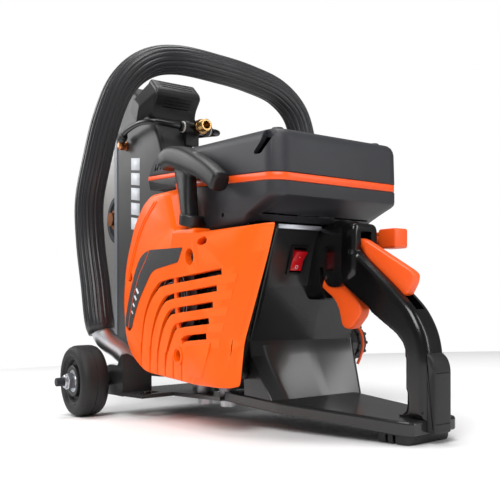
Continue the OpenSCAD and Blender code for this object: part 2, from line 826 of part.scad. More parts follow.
// Top and underside of the level bracket plate at x
function bracket_top(x) = bracket_z + (bracket_x - x) * tan(nose_up) + 2.1;
function bracket_under(x) = bracket_top(x) - 4.4;

// Level with the ground at the bracket's own datum
module level() {
  translate([bracket_x, 0, bracket_z]) rotate([0, nose_up, 0]) children();
}

module wheel_bracket() {
  color("#1c1d1f") stand() difference() {
    union() {
      for (s = [-1, 1]) {
        // Cheek plate that carries the axle bolt
        slab(min(s * cheek_y, s * (cheek_y - 4)), max(s * cheek_y, s * (cheek_y - 4)))
          polygon([[389, -11], [436, -13], [446, 2], [440, 18], [424, 22], [404, 22], [393, 36], [389, 36]]);
        // Gusset behind it
        translate([389, 0, 0]) rotate([90, 0, 90]) linear_extrude(4)
          polygon([[s * 52, -10], [s * cheek_y, -10], [s * cheek_y, 36], [s * 82, 37], [s * 52, 20]]);
      }
      // Cross plate and the strips back to the crankcase, level on the ground
      level() translate([-58, -cheek_y, -2]) cube([96, 2 * cheek_y, 4]);
      for (s = [-1, 1]) level() translate([-152, s * 34 - 16, -2]) cube([120, 32, 4]);
    }
    bar(axle_x, axle_z, -100, 100, 5 + run);
    for (s = [-1, 1]) level() translate([-34, s * 70, -10]) cylinder(r = 13, h = 20);
    for (x = bolt_xs) for (s = [-1, 1]) translate([x, s * 34, -30]) cylinder(r = 4.2, h = 60);
  }
}

module bracket_bolts() {
  color("#3a3b3d") stand() union() {
    for (x = bolt_xs) for (s = [-1, 1]) translate([x, s * 34, bracket_under(x)]) {
      translate([0, 0, -1]) cylinder(r = 3.9, h = 22);
      translate([0, 0, -6.6]) cylinder(d = 15, h = 6, $fn = 6);
    }
  }
}

module axle_bolts() {
  color("#2f3032") stand() union() {
    bar(axle_x, axle_z, 80, 150, bolt_r);
    bar(axle_x, axle_z, -150, -80, bolt_r);
    hex_bar(axle_x, axle_z, 76, 83.9, 17);
    hex_bar(axle_x, axle_z, -83.9, -76, 17);
    bar(axle_x, axle_z, cheek_y + 0.1, wheel_y - wheel_w + 1.4, 8);
    bar(axle_x, axle_z, -wheel_y + wheel_w - 1.4, -cheek_y - 0.1, 8);
  }
}

module axle_nuts() {
  color("#cfd2d6") stand() union() {
    for (s = [-1, 1]) difference() {
      union() {
        hex_bar(axle_x, axle_z, s > 0 ? wheel_y - 2 : -wheel_y - 5, s > 0 ? wheel_y + 5 : -wheel_y + 2, 17);
        bar(axle_x, axle_z, s > 0 ? wheel_y + 5 : -wheel_y - 8, s > 0 ? wheel_y + 8 : -wheel_y - 5, 7.4);
      }
      bar(axle_x, axle_z, -160, 160, bolt_r);
    }
  }
}

// Wheels are drawn for the left side, with y measured inward from the outer face
module mirrored(s) {
  translate([0, s * wheel_y, 0]) mirror([0, s > 0 ? 0 : 1, 0]) children();
}

module hub(s) {
  mirrored(s) difference() {
    union() {
      bar(axle_x, axle_z, -wheel_w + 4, -3, 26);
      bar(axle_x, axle_z, -wheel_w + 2, -1.5, 17.5);
    }
    bar(axle_x, axle_z, -wheel_w, 1, 13);
    difference() {
      bar(axle_x, axle_z, -8, 0, 23);
      bar(axle_x, axle_z, -9, 1, 17.5);
    }
  }
}

module tyre(s) {
  mirrored(s) translate([axle_x, 0, axle_z]) rotate([90, 0, 0]) rotate_extrude($fn = 96)
    polygon([[26, 3], [30, 1], [34, 0], [37, 1], [39.4, 5], [40, 9], [40, wheel_w / 2 - 0.8],
      [39.3, wheel_w / 2], [40, wheel_w / 2 + 0.8], [40, wheel_w - 9], [39.4, wheel_w - 5],
      [37, wheel_w - 1], [34, wheel_w], [30, wheel_w - 1], [26, wheel_w - 4]]);
}

module bearing(s) {
  mirrored(s) difference() {
    bar(axle_x, axle_z, -wheel_w + 2.5, -2.4, 13);
    bar(axle_x, axle_z, -wheel_w, 1, bolt_r + run);
    difference() {
      bar(axle_x, axle_z, -5, 0, 11);
      bar(axle_x, axle_z, -6, 1, 7.6);
    }
  }
}

module wheel_left_hub() { color("#1a1b1d") stand() hub(1); }
module wheel_right_hub() { color("#1a1b1d") stand() hub(-1); }
module wheel_left_tyre() { color("#141516") stand() tyre(1); }
module wheel_right_tyre() { color("#141516") stand() tyre(-1); }
module wheel_left_bearing() { color("#b9bcc0") stand() bearing(1); }
module wheel_right_bearing() { color("#b9bcc0") stand() bearing(-1); }

tank_housing();
fuel_cap();
cap_tether();
rear_handle();
handle_strip();
rear_foot();
throttle_trigger();
throttle_lockout();
control_pins();
choke_knob();
switch_bezel();
switch_rocker();
filter_cover();
cover_stripe();
filter_element();
carburettor();
cover_screws();
starter_cover();
starter_decal();
starter_screws();
rope_reel();
recoil_spring();
pull_handle();
flywheel();
crankshaft();
crankcase();
cylinder_block();  // cylinder
spark_plug();
muffler();
front_handle_tube();
front_handle_grip();
handle_clamps();
cutting_arm();
belt_cover();
drive_belt();
clutch_pulley();
blade_pulley();
spindle_shaft();
spindle_bearings();
blade_flanges();
blade_bolt();
blade_core();
blade_rim();
guard_shell();
guard_lever();
water_tee();
water_inlet();
water_hose_left();
water_hose_right();
spray_elbows();
wheel_bracket();
bracket_bolts();
axle_bolts();
axle_nuts();
wheel_left_hub();
wheel_left_tyre();
wheel_right_hub();
wheel_right_tyre();
wheel_left_bearing();
wheel_right_bearing();
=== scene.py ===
"""Rescue saw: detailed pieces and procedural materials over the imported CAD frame.

Shapes are drawn in the saw's own frame, in millimetres: X forward, Y left, Z up, with the
tank's underside at Z 0. TO_ROW turns them into the row frame in metres.
"""
import math

import bmesh
import bpy
from mathutils import Matrix, Vector


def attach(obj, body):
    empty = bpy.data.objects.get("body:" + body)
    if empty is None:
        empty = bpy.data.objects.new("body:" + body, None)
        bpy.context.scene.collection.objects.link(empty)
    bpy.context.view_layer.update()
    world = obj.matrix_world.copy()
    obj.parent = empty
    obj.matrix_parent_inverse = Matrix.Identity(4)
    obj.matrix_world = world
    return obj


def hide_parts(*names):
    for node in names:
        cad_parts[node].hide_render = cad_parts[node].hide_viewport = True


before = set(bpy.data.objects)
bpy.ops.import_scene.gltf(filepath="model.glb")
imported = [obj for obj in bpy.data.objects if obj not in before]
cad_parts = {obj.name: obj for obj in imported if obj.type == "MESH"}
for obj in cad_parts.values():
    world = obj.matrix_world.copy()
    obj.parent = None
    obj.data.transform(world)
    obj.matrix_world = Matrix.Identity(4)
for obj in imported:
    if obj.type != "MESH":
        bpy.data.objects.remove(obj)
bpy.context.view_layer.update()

MM = 0.001
NOSE_UP = math.radians(3.85)
LIFT = 5.8398
SHIFT = (-0.40705, 0.01785, LIFT * MM)
TO_ROW = Matrix.Translation(SHIFT) @ Matrix.Rotation(-NOSE_UP, 4, "Y") @ Matrix.Scale(MM, 4)

# X and Z of the turning axes
SPINDLE = (642.0, 214.0)
CRANK = (262.0, 100.0)
AXLE = (430.0, 5.3)
DISC_Y = -25.0
GUARD_R = 194.0
# closer than this, two lengths in millimetres are the same
TINY = 1e-6


# ---- shape helpers ----
def arc(cx, cz, r, start, end, steps):
    """Points on a circle from start to end, in degrees."""
    out = []
    for i in range(steps + 1):
        a = math.radians(start + (end - start) * i / steps)
        out.append((cx + r * math.cos(a), cz + r * math.sin(a)))
    return out


def turns(steps):
    """Evenly spaced angles round a full turn."""
    return [2 * math.pi * k / steps for k in range(steps)]


def squared(value, power):
    """A sine or cosine pushed outward, which squares off a circle; the sign stays."""
    return math.copysign(abs(value) ** power, value)


def rounded(points, radii, steps=4):
    """An outline with each corner replaced by an arc-like curve; radii is one number or a list."""
    n = len(points)
    if not isinstance(radii, (list, tuple)):
        radii = [radii] * n
    out = []
    for i in range(n):
        p = Vector(points[i])
        a = Vector(points[i - 1]) - p
        b = Vector(points[(i + 1) % n]) - p
        r = radii[i]
        cut = min(r, a.length * 0.45, b.length * 0.45)
        start = p + a.normalized() * cut
        end = p + b.normalized() * cut
        for k in range(steps + 1):
            t = k / steps
            out.append(tuple(start * (1 - t) ** 2 + p * 2 * t * (1 - t) + end * t * t))
    return out


FOLDED_BACK = 0.3
SHARPEST_MITRE = 0.45


def inset(points, d):
    """The outline moved inward by d; corners keep their mitre."""
    n = len(points)
    area = sum(points[i - 1][0] * points[i][1] - points[i][0] * points[i - 1][1] for i in range(n))
    side = 1 if area > 0 else -1
    out = []
    for i in range(n):
        p = Vector(points[i])
        a = (p - Vector(points[i - 1])).normalized()
        b = (Vector(points[(i + 1) % n]) - p).normalized()
        na = Vector((-a.y, a.x)) * side
        nb = Vector((-b.y, b.x)) * side
        mitre = na + nb
        if mitre.length < FOLDED_BACK:
            mitre = na
        mitre.normalize()
        out.append(tuple(p + mitre * (d / max(SHARPEST_MITRE, mitre.dot(na)))))
    return out


def loft(loops, caps=True):
    """A skin through closed loops of points with equal counts, closed at both ends by caps."""
    bm = bmesh.new()
    rows = [[bm.verts.new(p) for p in loop] for loop in loops]
    n = len(loops[0])
    for a, b in zip(rows, rows[1:]):
        for i in range(n):
            j = (i + 1) % n
            bm.faces.new((a[i], a[j], b[j], b[i]))
    if caps:
        bm.faces.new(list(reversed(rows[0])))
        bm.faces.new(rows[-1])
    bmesh.ops.recalc_face_normals(bm, faces=bm.faces)
    return bm


def rim_levels(y0, y1, rim0, rim1, steps):
    """(y, inset) pairs for a slab whose two edges are rounded by rim0 and rim1."""
    quarter = [math.pi / 2 * k / steps for k in range(steps + 1)]
    low, high = [(y0, 0.0)], [(y1, 0.0)]
    if rim0:
        low = [(y0 + rim0 - rim0 * math.cos(a), rim0 - rim0 * math.sin(a)) for a in quarter]
    if rim1:
        high = [(y1 - rim1 + rim1 * math.sin(a), rim1 - rim1 * math.cos(a)) for a in quarter]
    return low + high


def slab(outline, y0, y1, rim=0.0, steps=3, rim0=None, upright=False):
    """An outline in X and Z drawn out along Y with rounded edges; or, upright, in X and Y along Z."""
    rim0 = rim if rim0 is None else rim0
    loops = []
    for level, d in rim_levels(y0, y1, rim0, rim, steps):
        line = inset(outline, d) if d > TINY else outline
        loops.append([(u, v, level) if upright else (u, level, v) for u, v in line])
    return loft(loops)


def plate(outline, z0, z1, rim=0.0, rim0=None):
    """An outline in X and Y drawn out along Z, with rounded edges."""
    return slab(outline, z0, z1, rim, rim0=rim0, upright=True)


def block(x0, x1, y0, y1, z0, z1):
    """A plain box, for cutting with."""
    return slab([(x0, z0), (x1, z0), (x1, z1), (x0, z1)], y0, y1)


def rod(p, q, profile, steps=32):
    """A lathed solid from p towards q; profile is (distance along, radius) pairs."""
    p = Vector(p)
    axis = (Vector(q) - p).normalized()
    side = axis.orthogonal().normalized()
    up = axis.cross(side)
    loops = []
    for h, r in profile:
        c = p + axis * h
        loops.append([c + (side * math.cos(a) + up * math.sin(a)) * r for a in turns(steps)])
    return loft(loops)


def pin(p, q, r, steps=24, edge=0.0):
    """A round bar from p to q with bevelled ends."""
    length = (Vector(q) - Vector(p)).length
    if not edge:
        return rod(p, q, [(0, r), (length, r)], steps)
    return rod(p, q, [(0, r - edge), (edge, r), (length - edge, r), (length, r - edge)], steps)


def spline(points, steps):
    """A smooth curve through the points."""
    pts = [Vector(p) for p in points]
    out = []
    for i in range(len(pts) - 1):
        p0 = pts[max(i - 1, 0)]
        p1, p2 = pts[i], pts[i + 1]
        p3 = pts[min(i + 2, len(pts) - 1)]
        for k in range(steps):
            t = k / steps
            out.append(0.5 * (2 * p1 + (p2 - p0) * t + (2 * p0 - 5 * p1 + 4 * p2 - p3) * t * t
                + (3 * p1 - p0 - 3 * p2 + p3) * t ** 3))
    out.append(pts[-1])
    return out


def flat_spline(points, steps):
    """A smooth curve through points in X and Z."""
    return [(p.x, p.y) for p in spline([(x, z, 0) for x, z in points], steps)]


def sweep(path, section, side):
    """A skin along a path; section(k) gives (across, up) points of the k-th ring."""
    side = Vector(side)
    loops = []
    for i, p in enumerate(path):
        t = (Vector(path[min(i + 1, len(path) - 1)]) - Vector(path[max(i - 1, 0)])).normalized()
        a = t.cross(side).normalized()
        b = t.cross(a)
        loops.append([Vector(p) + (a * u + b * v) for u, v in section(i)])
    return loft(loops)


def circle(r, n):
    """A round section for sweep()."""
    return [(r * math.cos(a), r * math.sin(a)) for a in turns(n)]


def ribbon(path, widths):
    """The outline of a strip that follows a path of X and Z points, with its own width at each."""
    pts = [Vector(p) for p in path]
    left, right = [], []
    for i, p in enumerate(pts):
        t = (pts[min(i + 1, len(pts) - 1)] - pts[max(i - 1, 0)]).normalized()
        n = Vector((-t.y, t.x))
        left.append(tuple(p + n * widths[i] / 2))
        right.append(tuple(p - n * widths[i] / 2))
    return left + right[::-1]


def join(*parts):
    """Several shapes in one mesh, left as separate shells."""
    out = bmesh.new()
    for bm in parts:
        temp = bpy.data.meshes.new("join")
        bm.to_mesh(temp)
        out.from_mesh(temp)
        bpy.data.meshes.remove(temp)
        bm.free()
    return out


def moved(bm, matrix):
    """The shape itself, after the matrix."""
    bmesh.ops.transform(bm, matrix=matrix, verts=bm.verts)
    return bm


def to_object(bm, name="work"):
    """The shape as an object in the scene, with doubled points joined."""
    bmesh.ops.remove_doubles(bm, verts=bm.verts, dist=1e-5)
    bmesh.ops.recalc_face_normals(bm, faces=bm.faces)
    mesh = bpy.data.meshes.new(name)
    bm.to_mesh(mesh)
    bm.free()
    obj = bpy.data.objects.new(name, mesh)
    bpy.context.scene.collection.objects.link(obj)
    return obj


def evaluated(obj):
    """The object's mesh with its modifiers applied, as bmesh; the object is removed."""
    graph = bpy.context.evaluated_depsgraph_get()
    mesh = bpy.data.meshes.new_from_object(obj.evaluated_get(graph))
    bm = bmesh.new()
    bm.from_mesh(mesh)
    bpy.data.meshes.remove(mesh)
    old = obj.data
    bpy.data.objects.remove(obj)
    bpy.data.meshes.remove(old)
    return bm


def solid(bm):
    """The shape as an object of triangles and quads, which booleans need."""
    bmesh.ops.triangulate(bm, faces=[f for f in bm.faces if len(f.verts) > 4])
    return to_object(bm)


def boolean(base, others, operation):
    """base with the other shapes cut away or added."""
    obj = solid(base)
    tools = [solid(bm) for bm in others]
    for tool in tools:
        mod = obj.modifiers.new("bool", "BOOLEAN")
        mod.operation = operation
        mod.solver = "MANIFOLD"
        mod.object = tool
    bm = evaluated(obj)
    for tool in tools:
        mesh = tool.data
        bpy.data.objects.remove(tool)
        bpy.data.meshes.remove(mesh)
    return bm


def cut(base, *tools):
    """base less the tools, which it uses up."""
    return boolean(base, tools, "DIFFERENCE")


def fuse(base, *tools):
    """base and the others as one solid."""
    return boolean(base, tools, "UNION")


def melt(bm, voxel, smooth):
    """A moulded skin: the shapes are remeshed as one and their edges flow together."""
    obj = to_object(bm)
    remesh = obj.modifiers.new("remesh", "REMESH")
    remesh.mode = "VOXEL"
    remesh.voxel_size = voxel
    soft = obj.modifiers.new("smooth", "SMOOTH")
    soft.factor = 0.5
    soft.iterations = smooth
    return evaluated(obj)


def bevel(obj, width, segments, angle):
    """Rounds the edges sharper than angle so that they catch light."""
    mod = obj.modifiers.new("edges", "BEVEL")
    mod.width = width * MM
    mod.segments = segments
    mod.limit_method = "ANGLE"
    mod.angle_limit = math.radians(angle)
    mod.harden_normals = True
    return mod


def piece(name, bm, look, body, stands_for=(), edge=0.0, segments=2, angle=30, sharp=None):
    """Turns a shape into a finished piece on its body, in place of the CAD nodes it stands for."""
    moved(bm, TO_ROW)
    obj = to_object(bm, name)
    obj.data.name = name
    obj.data.materials.append(MATS[look])
    if edge:
        bevel(obj, edge, segments, angle).miter_outer = "MITER_ARC"
    for poly in obj.data.polygons:
        poly.use_smooth = True
    if sharp:
        obj.data.set_sharp_from_angle(angle=math.radians(sharp))
    if stands_for:
        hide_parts(*stands_for)
    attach(obj, body)


# ---- materials ----
def colour(r, g, b):
    """An 8-bit screen colour as the linear colour that shaders use."""
    return tuple((v / 255 / 12.92 if v < 11 else ((v / 255 + 0.055) / 1.055) ** 2.4) for v in (r, g, b))


def lighter(rgb, k):
    """The colour times k, as the four numbers that shader sockets use."""
    return tuple(min(1.0, v * k) for v in rgb) + (1.0,)


class Shader:
    """A material's node tree, with short names for what every surface here uses."""

    def __init__(self, name):
        self.material = bpy.data.materials.new(name)
        self.material.use_nodes = True
        self.tree = self.material.node_tree
        self.tree.nodes.clear()
        self.out = self.node("ShaderNodeOutputMaterial")
        self.bsdf = self.node("ShaderNodeBsdfPrincipled")
        self.link(self.bsdf, "BSDF", self.out, "Surface")
        self.place = self.node("ShaderNodeTexCoord")

    def node(self, kind, **values):
        node = self.tree.nodes.new(kind)
        for key, value in values.items():
            if key in node.inputs:
                node.inputs[key].default_value = value
            else:
                setattr(node, key, value)
        return node

    def link(self, a, out, b, into):
        self.tree.links.new(a.outputs[out], b.inputs[into])

    def noise(self, scale, detail, rough, stretch=None):
        node = self.node("ShaderNodeTexNoise", Scale=scale, Detail=detail, Roughness=rough)
        if stretch:
            drawn_out = self.node("ShaderNodeMapping", Scale=stretch)
            self.link(self.place, "Object", drawn_out, "Vector")
            self.link(drawn_out, "Vector", node, "Vector")
        else:
            self.link(self.place, "Object", node, "Vector")
        return node

    def ramp(self, source, output, low, high, stops=(0.3, 0.7)):
        node = self.node("ShaderNodeValToRGB")
        for element, position, tone in zip(node.color_ramp.elements, stops, (low, high)):
            element.position = position
            element.color = tone
        self.link(source, output, node, "Fac")
        return node

    def spread(self, source, output, low, high, span=(0.3, 0.7)):
        node = self.node("ShaderNodeMapRange")
        node.inputs["From Min"].default_value = span[0]
        node.inputs["From Max"].default_value = span[1]
        node.inputs["To Min"].default_value = low
        node.inputs["To Max"].default_value = high
        self.link(source, output, node, "Value")
        return node

    def mix(self, base, base_out, over, factor, factor_out):
        node = self.node("ShaderNodeMix", data_type="RGBA")
        self.tree.links.new(base.outputs[base_out], node.inputs["A"])
        node.inputs["B"].default_value = over
        self.tree.links.new(factor.outputs[factor_out], node.inputs["Factor"])
        return node

    def bump(self, source, output, strength, distance, below=None):
        node = self.node("ShaderNodeBump", Strength=strength, Distance=distance)
        self.link(source, output, node, "Height")
        if below:
            self.link(below, "Normal", node, "Normal")
        return node

    def finished(self, relief, metal, values=()):
        self.link(relief, "Normal", self.bsdf, "Normal")
        for key, value in {"Metallic": metal, **dict(values)}.items():
            self.bsdf.inputs[key].default_value = value
        return self.material


GRAIN_STRENGTH = 6


def surface(name, screen, rough, metal=0.0, mottle=0.07, grain=1500, grain_depth=0.04, wave_depth=0.0,
        coat=0.0, coat_rough=0.15, wear=0.0, specular=0.5, stretch=None, rough_spread=0.08, sheen=0.0):
    """A moulded, cast or brushed finish: mottled colour, uneven gloss, grain, and rubbed edges."""
    s = Shader(name)
    rgb = colour(*screen)
    broad = s.noise(28, 5, 0.6)
    tint = s.ramp(broad, "Fac", lighter(rgb, 1 - mottle), lighter(rgb, 1 + mottle))
    last, last_out = tint, "Color"
    if wear:
        geometry = s.node("ShaderNodeNewGeometry")
        edge = s.spread(geometry, "Pointiness", 0.0, wear, (0.53, 0.60))
        last = s.mix(tint, "Color", lighter(tuple(v + 0.03 for v in rgb), 1.7), edge, "Result")
        last_out = "Result"
    s.link(last, last_out, s.bsdf, "Base Color")
    blotch = s.noise(9, 3, 0.5)
    gloss = s.spread(blotch, "Fac", rough - rough_spread / 2, rough + rough_spread)
    s.link(gloss, "Result", s.bsdf, "Roughness")
    fine = s.noise(grain, 2, 0.5, stretch)
    relief = s.bump(fine, "Fac", grain_depth * GRAIN_STRENGTH, 0.12 * MM)
    if wave_depth:
        flow = s.noise(60, 2, 0.4)
        relief = s.bump(flow, "Fac", wave_depth, 0.6 * MM, relief)
    return s.finished(relief, metal, {"Specular IOR Level": specular, "Coat Weight": coat,
        "Coat Roughness": coat_rough, "Sheen Weight": sheen})


def disc_metal(name, screen, rings, strength):
    """Ground steel, with fine rings round the spindle, lighter and darker by turns."""
    s = Shader(name)
    rgb = colour(*screen)
    centre = TO_ROW @ Vector((SPINDLE[0], DISC_Y, SPINDLE[1]))
    offset = s.node("ShaderNodeVectorMath", operation="SUBTRACT")
    offset.inputs[1].default_value = centre
    s.link(s.place, "Object", offset, "Vector")
    flat = s.node("ShaderNodeVectorMath", operation="MULTIPLY")
    flat.inputs[1].default_value = (1.0, 0.0, 1.0)
    s.link(offset, "Vector", flat, "Vector")
    radius = s.node("ShaderNodeVectorMath", operation="LENGTH")
    s.link(flat, "Vector", radius, "Vector")
    scaled = s.node("ShaderNodeMath", operation="MULTIPLY")
    scaled.inputs[1].default_value = rings
    s.link(radius, "Value", scaled, "Value")
    lines = s.node("ShaderNodeTexNoise", noise_dimensions="1D", Scale=1.0, Detail=3.0)
    s.link(scaled, "Value", lines, "W")
    tint = s.ramp(lines, "Fac", lighter(rgb, 0.82), lighter(rgb, 1.16), (0.35, 0.65))
    s.link(tint, "Color", s.bsdf, "Base Color")
    gloss = s.spread(lines, "Fac", 0.28, 0.46)
    s.link(gloss, "Result", s.bsdf, "Roughness")
    return s.finished(s.bump(lines, "Fac", strength, 0.1 * MM), 0.85)


def grit(name, screen, scale, depth):
    """Sintered or cast grain from small cells."""
    s = Shader(name)
    rgb = colour(*screen)
    cells = s.node("ShaderNodeTexVoronoi", Scale=scale)
    s.link(s.place, "Object", cells, "Vector")
    tint = s.ramp(cells, "Distance", lighter(rgb, 0.7), lighter(rgb, 1.3), (0.1, 0.7))
    s.link(tint, "Color", s.bsdf, "Base Color")
    fine = s.noise(scale * 2.3, 3, 0.6)
    relief = s.bump(cells, "Distance", depth, 0.2 * MM)
    relief = s.bump(fine, "Fac", depth * 0.6, 0.1 * MM, relief)
    return s.finished(relief, 0.6, {"Roughness": 0.55})


MATS = {
    "orange": surface("orange_moulding", (255, 97, 10), 0.36, mottle=0.05, grain=1800, grain_depth=0.03,
        wave_depth=0.04, coat=0.04, coat_rough=0.12, wear=0.15, specular=0.16),
    "control": surface("orange_control", (255, 92, 24), 0.42, mottle=0.05, grain=2200, grain_depth=0.06,
        coat=0.1, wear=0.2),
    "stripe": surface("orange_stripe", (255, 88, 20), 0.38, mottle=0.04, grain=2000, grain_depth=0.04),
    "gloss": surface("black_gloss", (9, 9, 10), 0.2, mottle=0.12, grain=1600, grain_depth=0.015,
        wave_depth=0.06, coat=0.25, coat_rough=0.12, wear=0.35, specular=0.34),
    "cover": surface("grey_texture", (42, 43, 48), 0.5, mottle=0.06, grain=2600, grain_depth=0.16,
        wave_depth=0.02, wear=0.4),
    "guard": surface("guard_paint", (19, 20, 23), 0.45, mottle=0.07, grain=1200, grain_depth=0.05,
        wave_depth=0.05, wear=0.5),
    "matte": surface("black_matte", (16, 16, 18), 0.42, mottle=0.1, grain=2400, grain_depth=0.12,
        wear=0.35),
    "grip": surface("grip_rubber", (24, 25, 29), 0.34, mottle=0.1, grain=1900, grain_depth=0.12,
        wear=0.5, specular=0.55, sheen=0.1),
    "rubber": surface("tyre_rubber", (15, 15, 16), 0.55, mottle=0.18, grain=1300, grain_depth=0.16,
        wear=0.35),
    "hose": surface("hose_rubber", (16, 16, 18), 0.28, mottle=0.1, grain=1500, grain_depth=0.03),
    "tube": surface("bare_aluminium", (205, 207, 211), 0.3, metal=1.0, mottle=0.05, grain=700,
        grain_depth=0.04, stretch=(1.0, 1.0, 0.08), rough_spread=0.12),
    "steel": surface("steel", (188, 191, 196), 0.24, metal=1.0, mottle=0.06, grain=1100,
        grain_depth=0.03, rough_spread=0.12),
    "dark_steel": surface("dark_steel", (62, 64, 68), 0.36, metal=0.85, mottle=0.12, grain=1100,
        grain_depth=0.08, rough_spread=0.14),
    "cast": surface("cast_alloy", (150, 153, 158), 0.46, metal=0.9, mottle=0.1, grain=800,
        grain_depth=0.3, wave_depth=0.05, rough_spread=0.14, wear=0.4),
    "brass": surface("brass", (176, 140, 92), 0.22, metal=1.0, mottle=0.1, grain=1000,
        grain_depth=0.03),
    "copper": surface("copper", (176, 112, 72), 0.26, metal=1.0, mottle=0.14, grain=1000,
        grain_depth=0.04),
    "black_paint": surface("black_paint", (14, 14, 15), 0.26, mottle=0.1, grain=900, grain_depth=0.05,
        wave_depth=0.08, coat=0.3, wear=0.5),
    "heat": surface("heat_paint", (42, 42, 44), 0.6, metal=0.3, mottle=0.25, grain=700,
        grain_depth=0.25),
    "red": surface("red_rocker", (226, 22, 34), 0.2, mottle=0.05, grain=2000, grain_depth=0.01,
        coat=0.4),
    "paper": surface("filter_paper", (214, 198, 156), 0.85, mottle=0.12, grain=1600, grain_depth=0.3),
    "porcelain": surface("porcelain", (234, 232, 226), 0.18, mottle=0.03, grain=900, grain_depth=0.01),
    "reel": surface("reel_nylon", (40, 38, 38), 0.4, mottle=0.05, grain=1200, grain_depth=0.05),
    "badge": surface("badge_film", (30, 31, 35), 0.48, mottle=0.1, grain=3200, grain_depth=0.5),
    "mark": surface("white_print", (232, 236, 242), 0.45, mottle=0.03, grain=1500, grain_depth=0.03),
    "ring": surface("clear_ring", (224, 222, 214), 0.25, mottle=0.05, grain=1500, grain_depth=0.02),
    "silver": surface("silver_edge", (176, 178, 184), 0.3, metal=0.7, mottle=0.06, grain=1500,
        grain_depth=0.04),
    # pale grey of the strip on the guard's near edge: a painted highlight
    "painted_highlight_grey": surface("painted_edge_highlight", (120, 124, 130), 0.36, metal=0.3, mottle=0.06, grain=1300,
        grain_depth=0.05, wear=0.4),
    "disc": disc_metal("disc_steel", (158, 156, 154), 2600.0, 0.25),
    "rim": grit("rim_segments", (104, 102, 98), 1100, 0.5),
}

# look and edge radius of each CAD node that no piece replaces
NODE_LOOK = {"cap_tether": ("control", 0), "filter_element": ("paper", 0), "carburettor": ("cast", 0.6),
    "rope_reel": ("reel", 0.3), "recoil_spring": ("steel", 0), "flywheel": ("cast", 0.4),
    "crankshaft": ("steel", 0.4), "crankcase": ("cast", 1.0), "cylinder": ("cast", 0.5),
    "spark_plug": ("porcelain", 0.3), "muffler": ("heat", 1.0), "handle_clamps": ("matte", 1.2),
    "cutting_arm": ("cast", 1.2), "belt_cover": ("matte", 1.4), "drive_belt": ("rubber", 0.4),
    "clutch_pulley": ("steel", 0.4), "blade_pulley": ("steel", 0.4), "spindle_shaft": ("steel", 0.4),
    "spindle_bearings": ("steel", 0.3), "blade_flanges": ("dark_steel", 0.6),
    "blade_bolt": ("copper", 0.5), "blade_core": ("disc", 0), "blade_rim": ("rim", 0.2),
    "wheel_bracket": ("black_paint", 0.5), "bracket_bolts": ("steel", 0.4)}


def dress_nodes():
    """Gives each CAD node in sight its finish, and rounds its edges without touching its mesh."""
    for name, (look, edge) in NODE_LOOK.items():
        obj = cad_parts[name]
        if obj.data.materials:
            for place in obj.material_slots:
                place.link = "OBJECT"
                place.material = MATS[look]
        else:
            obj.data.materials.append(MATS[look])
        weld = obj.modifiers.new("weld", "WELD")
        weld.merge_threshold = 0.01 * MM
        if edge:
            bevel(obj, edge, segments=3, angle=32)


# ---- starter cover ----
BOSSES = [(240, 47), (346, 70), (344, 122), (219, 138)]


def starter_loops():
    """Outlines of the starter cover from its face back to where it overhangs the tank."""
    face = [(193, 28), (215, 25.5), (311, 27.5), (342, 43), (355, 62), (358, 92), (354, 131),
        (335, 164), (315, 191), (299, 199), (279, 200), (256, 162.5), (212, 158.5), (140.5, 158.5),
        (159.6, 135.4), (188.5, 64.2)]
    edge = [(173.6, 24), (213, 22.6), (313, 24.8), (345, 40), (358.5, 60), (361.5, 92), (357.5, 133),
        (338, 167), (318, 195), (300, 202.5), (262, 203), (247, 163), (206, 160), (120.5, 160.5),
        (135, 134), (169.5, 64)]
    strip = [(163, 24.5), (207, 22), (318, 22.6), (352, 38), (368, 61), (371.5, 93), (366, 135),
        (346, 172), (325, 200), (304, 205), (257, 205), (243, 162), (203, 161.5), (112, 161.5),
        (122, 135), (156, 63)]
    back = [(158, 26), (204, 22), (322, 21.6), (358, 37), (374, 61), (378, 93), (371, 136), (350, 176),
        (328, 203), (306, 206), (254, 206), (241, 161.5), (201, 162), (108.5, 162), (118.5, 136),
        (151.5, 64)]
    rear = (0, 13, 14, 15)
    slope = dict.fromkeys(rear, 95.5)
    low = dict.fromkeys(rear, 90.5)

    def at(points, y, special=None):
        return [(x, (special or {}).get(i, y), z) for i, (x, z) in enumerate(points)]

    def between(a, b, t):
        return [tuple(p + (q - p) * t for p, q in zip(u, v)) for u, v in zip(a, b)]

    top = at(face, 100.0)
    rim = at(edge, 96.6, slope)
    mid = []
    for i, (m, a, b) in enumerate(zip(between(top, rim, 0.62), top, rim)):
        fullness = 0.0 if i in rear else 0.9
        mid.append((m[0], max(m[1], 0.45 * a[1] + 0.55 * b[1] + fullness), m[2]))
    wall = at(strip, 89.5, low)
    root = at(back, 84.0, dict.fromkeys(rear, 86.0))
    return [top, mid, rim, wall, root]


def louvre_paths():
    """Middle lines of the five bent cooling slots, with their widths."""
    runs = [[(165.2, 124.1), (220, 119.4), (270, 114.8), (284, 109.5), (298, 98), (310.5, 78),
        (316.8, 50), (317.4, 40)], [(172.6, 110), (215, 106), (254, 102), (270, 97), (285, 81),
        (294.5, 60), (297.6, 38)], [(179.1, 95.9), (215, 92.2), (244, 89), (258, 85.5), (271, 72),
        (279.5, 52), (281.5, 37)], [(185.5, 81.5), (215, 78.4), (234, 76), (247, 72.4), (257, 58),
        (264, 44), (265.4, 34)], [(189.9, 67.9), (208, 66), (226, 63.8), (234, 60.4)],]
    out = []
    for i, run in enumerate(runs):
        path = flat_spline(run, 6)
        widths = []
        for x, z in path:
            bent = min(1.0, max(0.0, (112 - z - 14 * i) / 40))
            widths.append(5.4 - 2.3 * bent)
        out.append(ribbon(path, widths))
    return out


FACET_INNER = [(193, 27.6), (188.5, 64.2), (159.6, 135.4), (140.5, 159.2)]
FACET_OUTER = [(173.6, 23.6), (169.5, 64), (135, 134), (120.5, 160.5)]


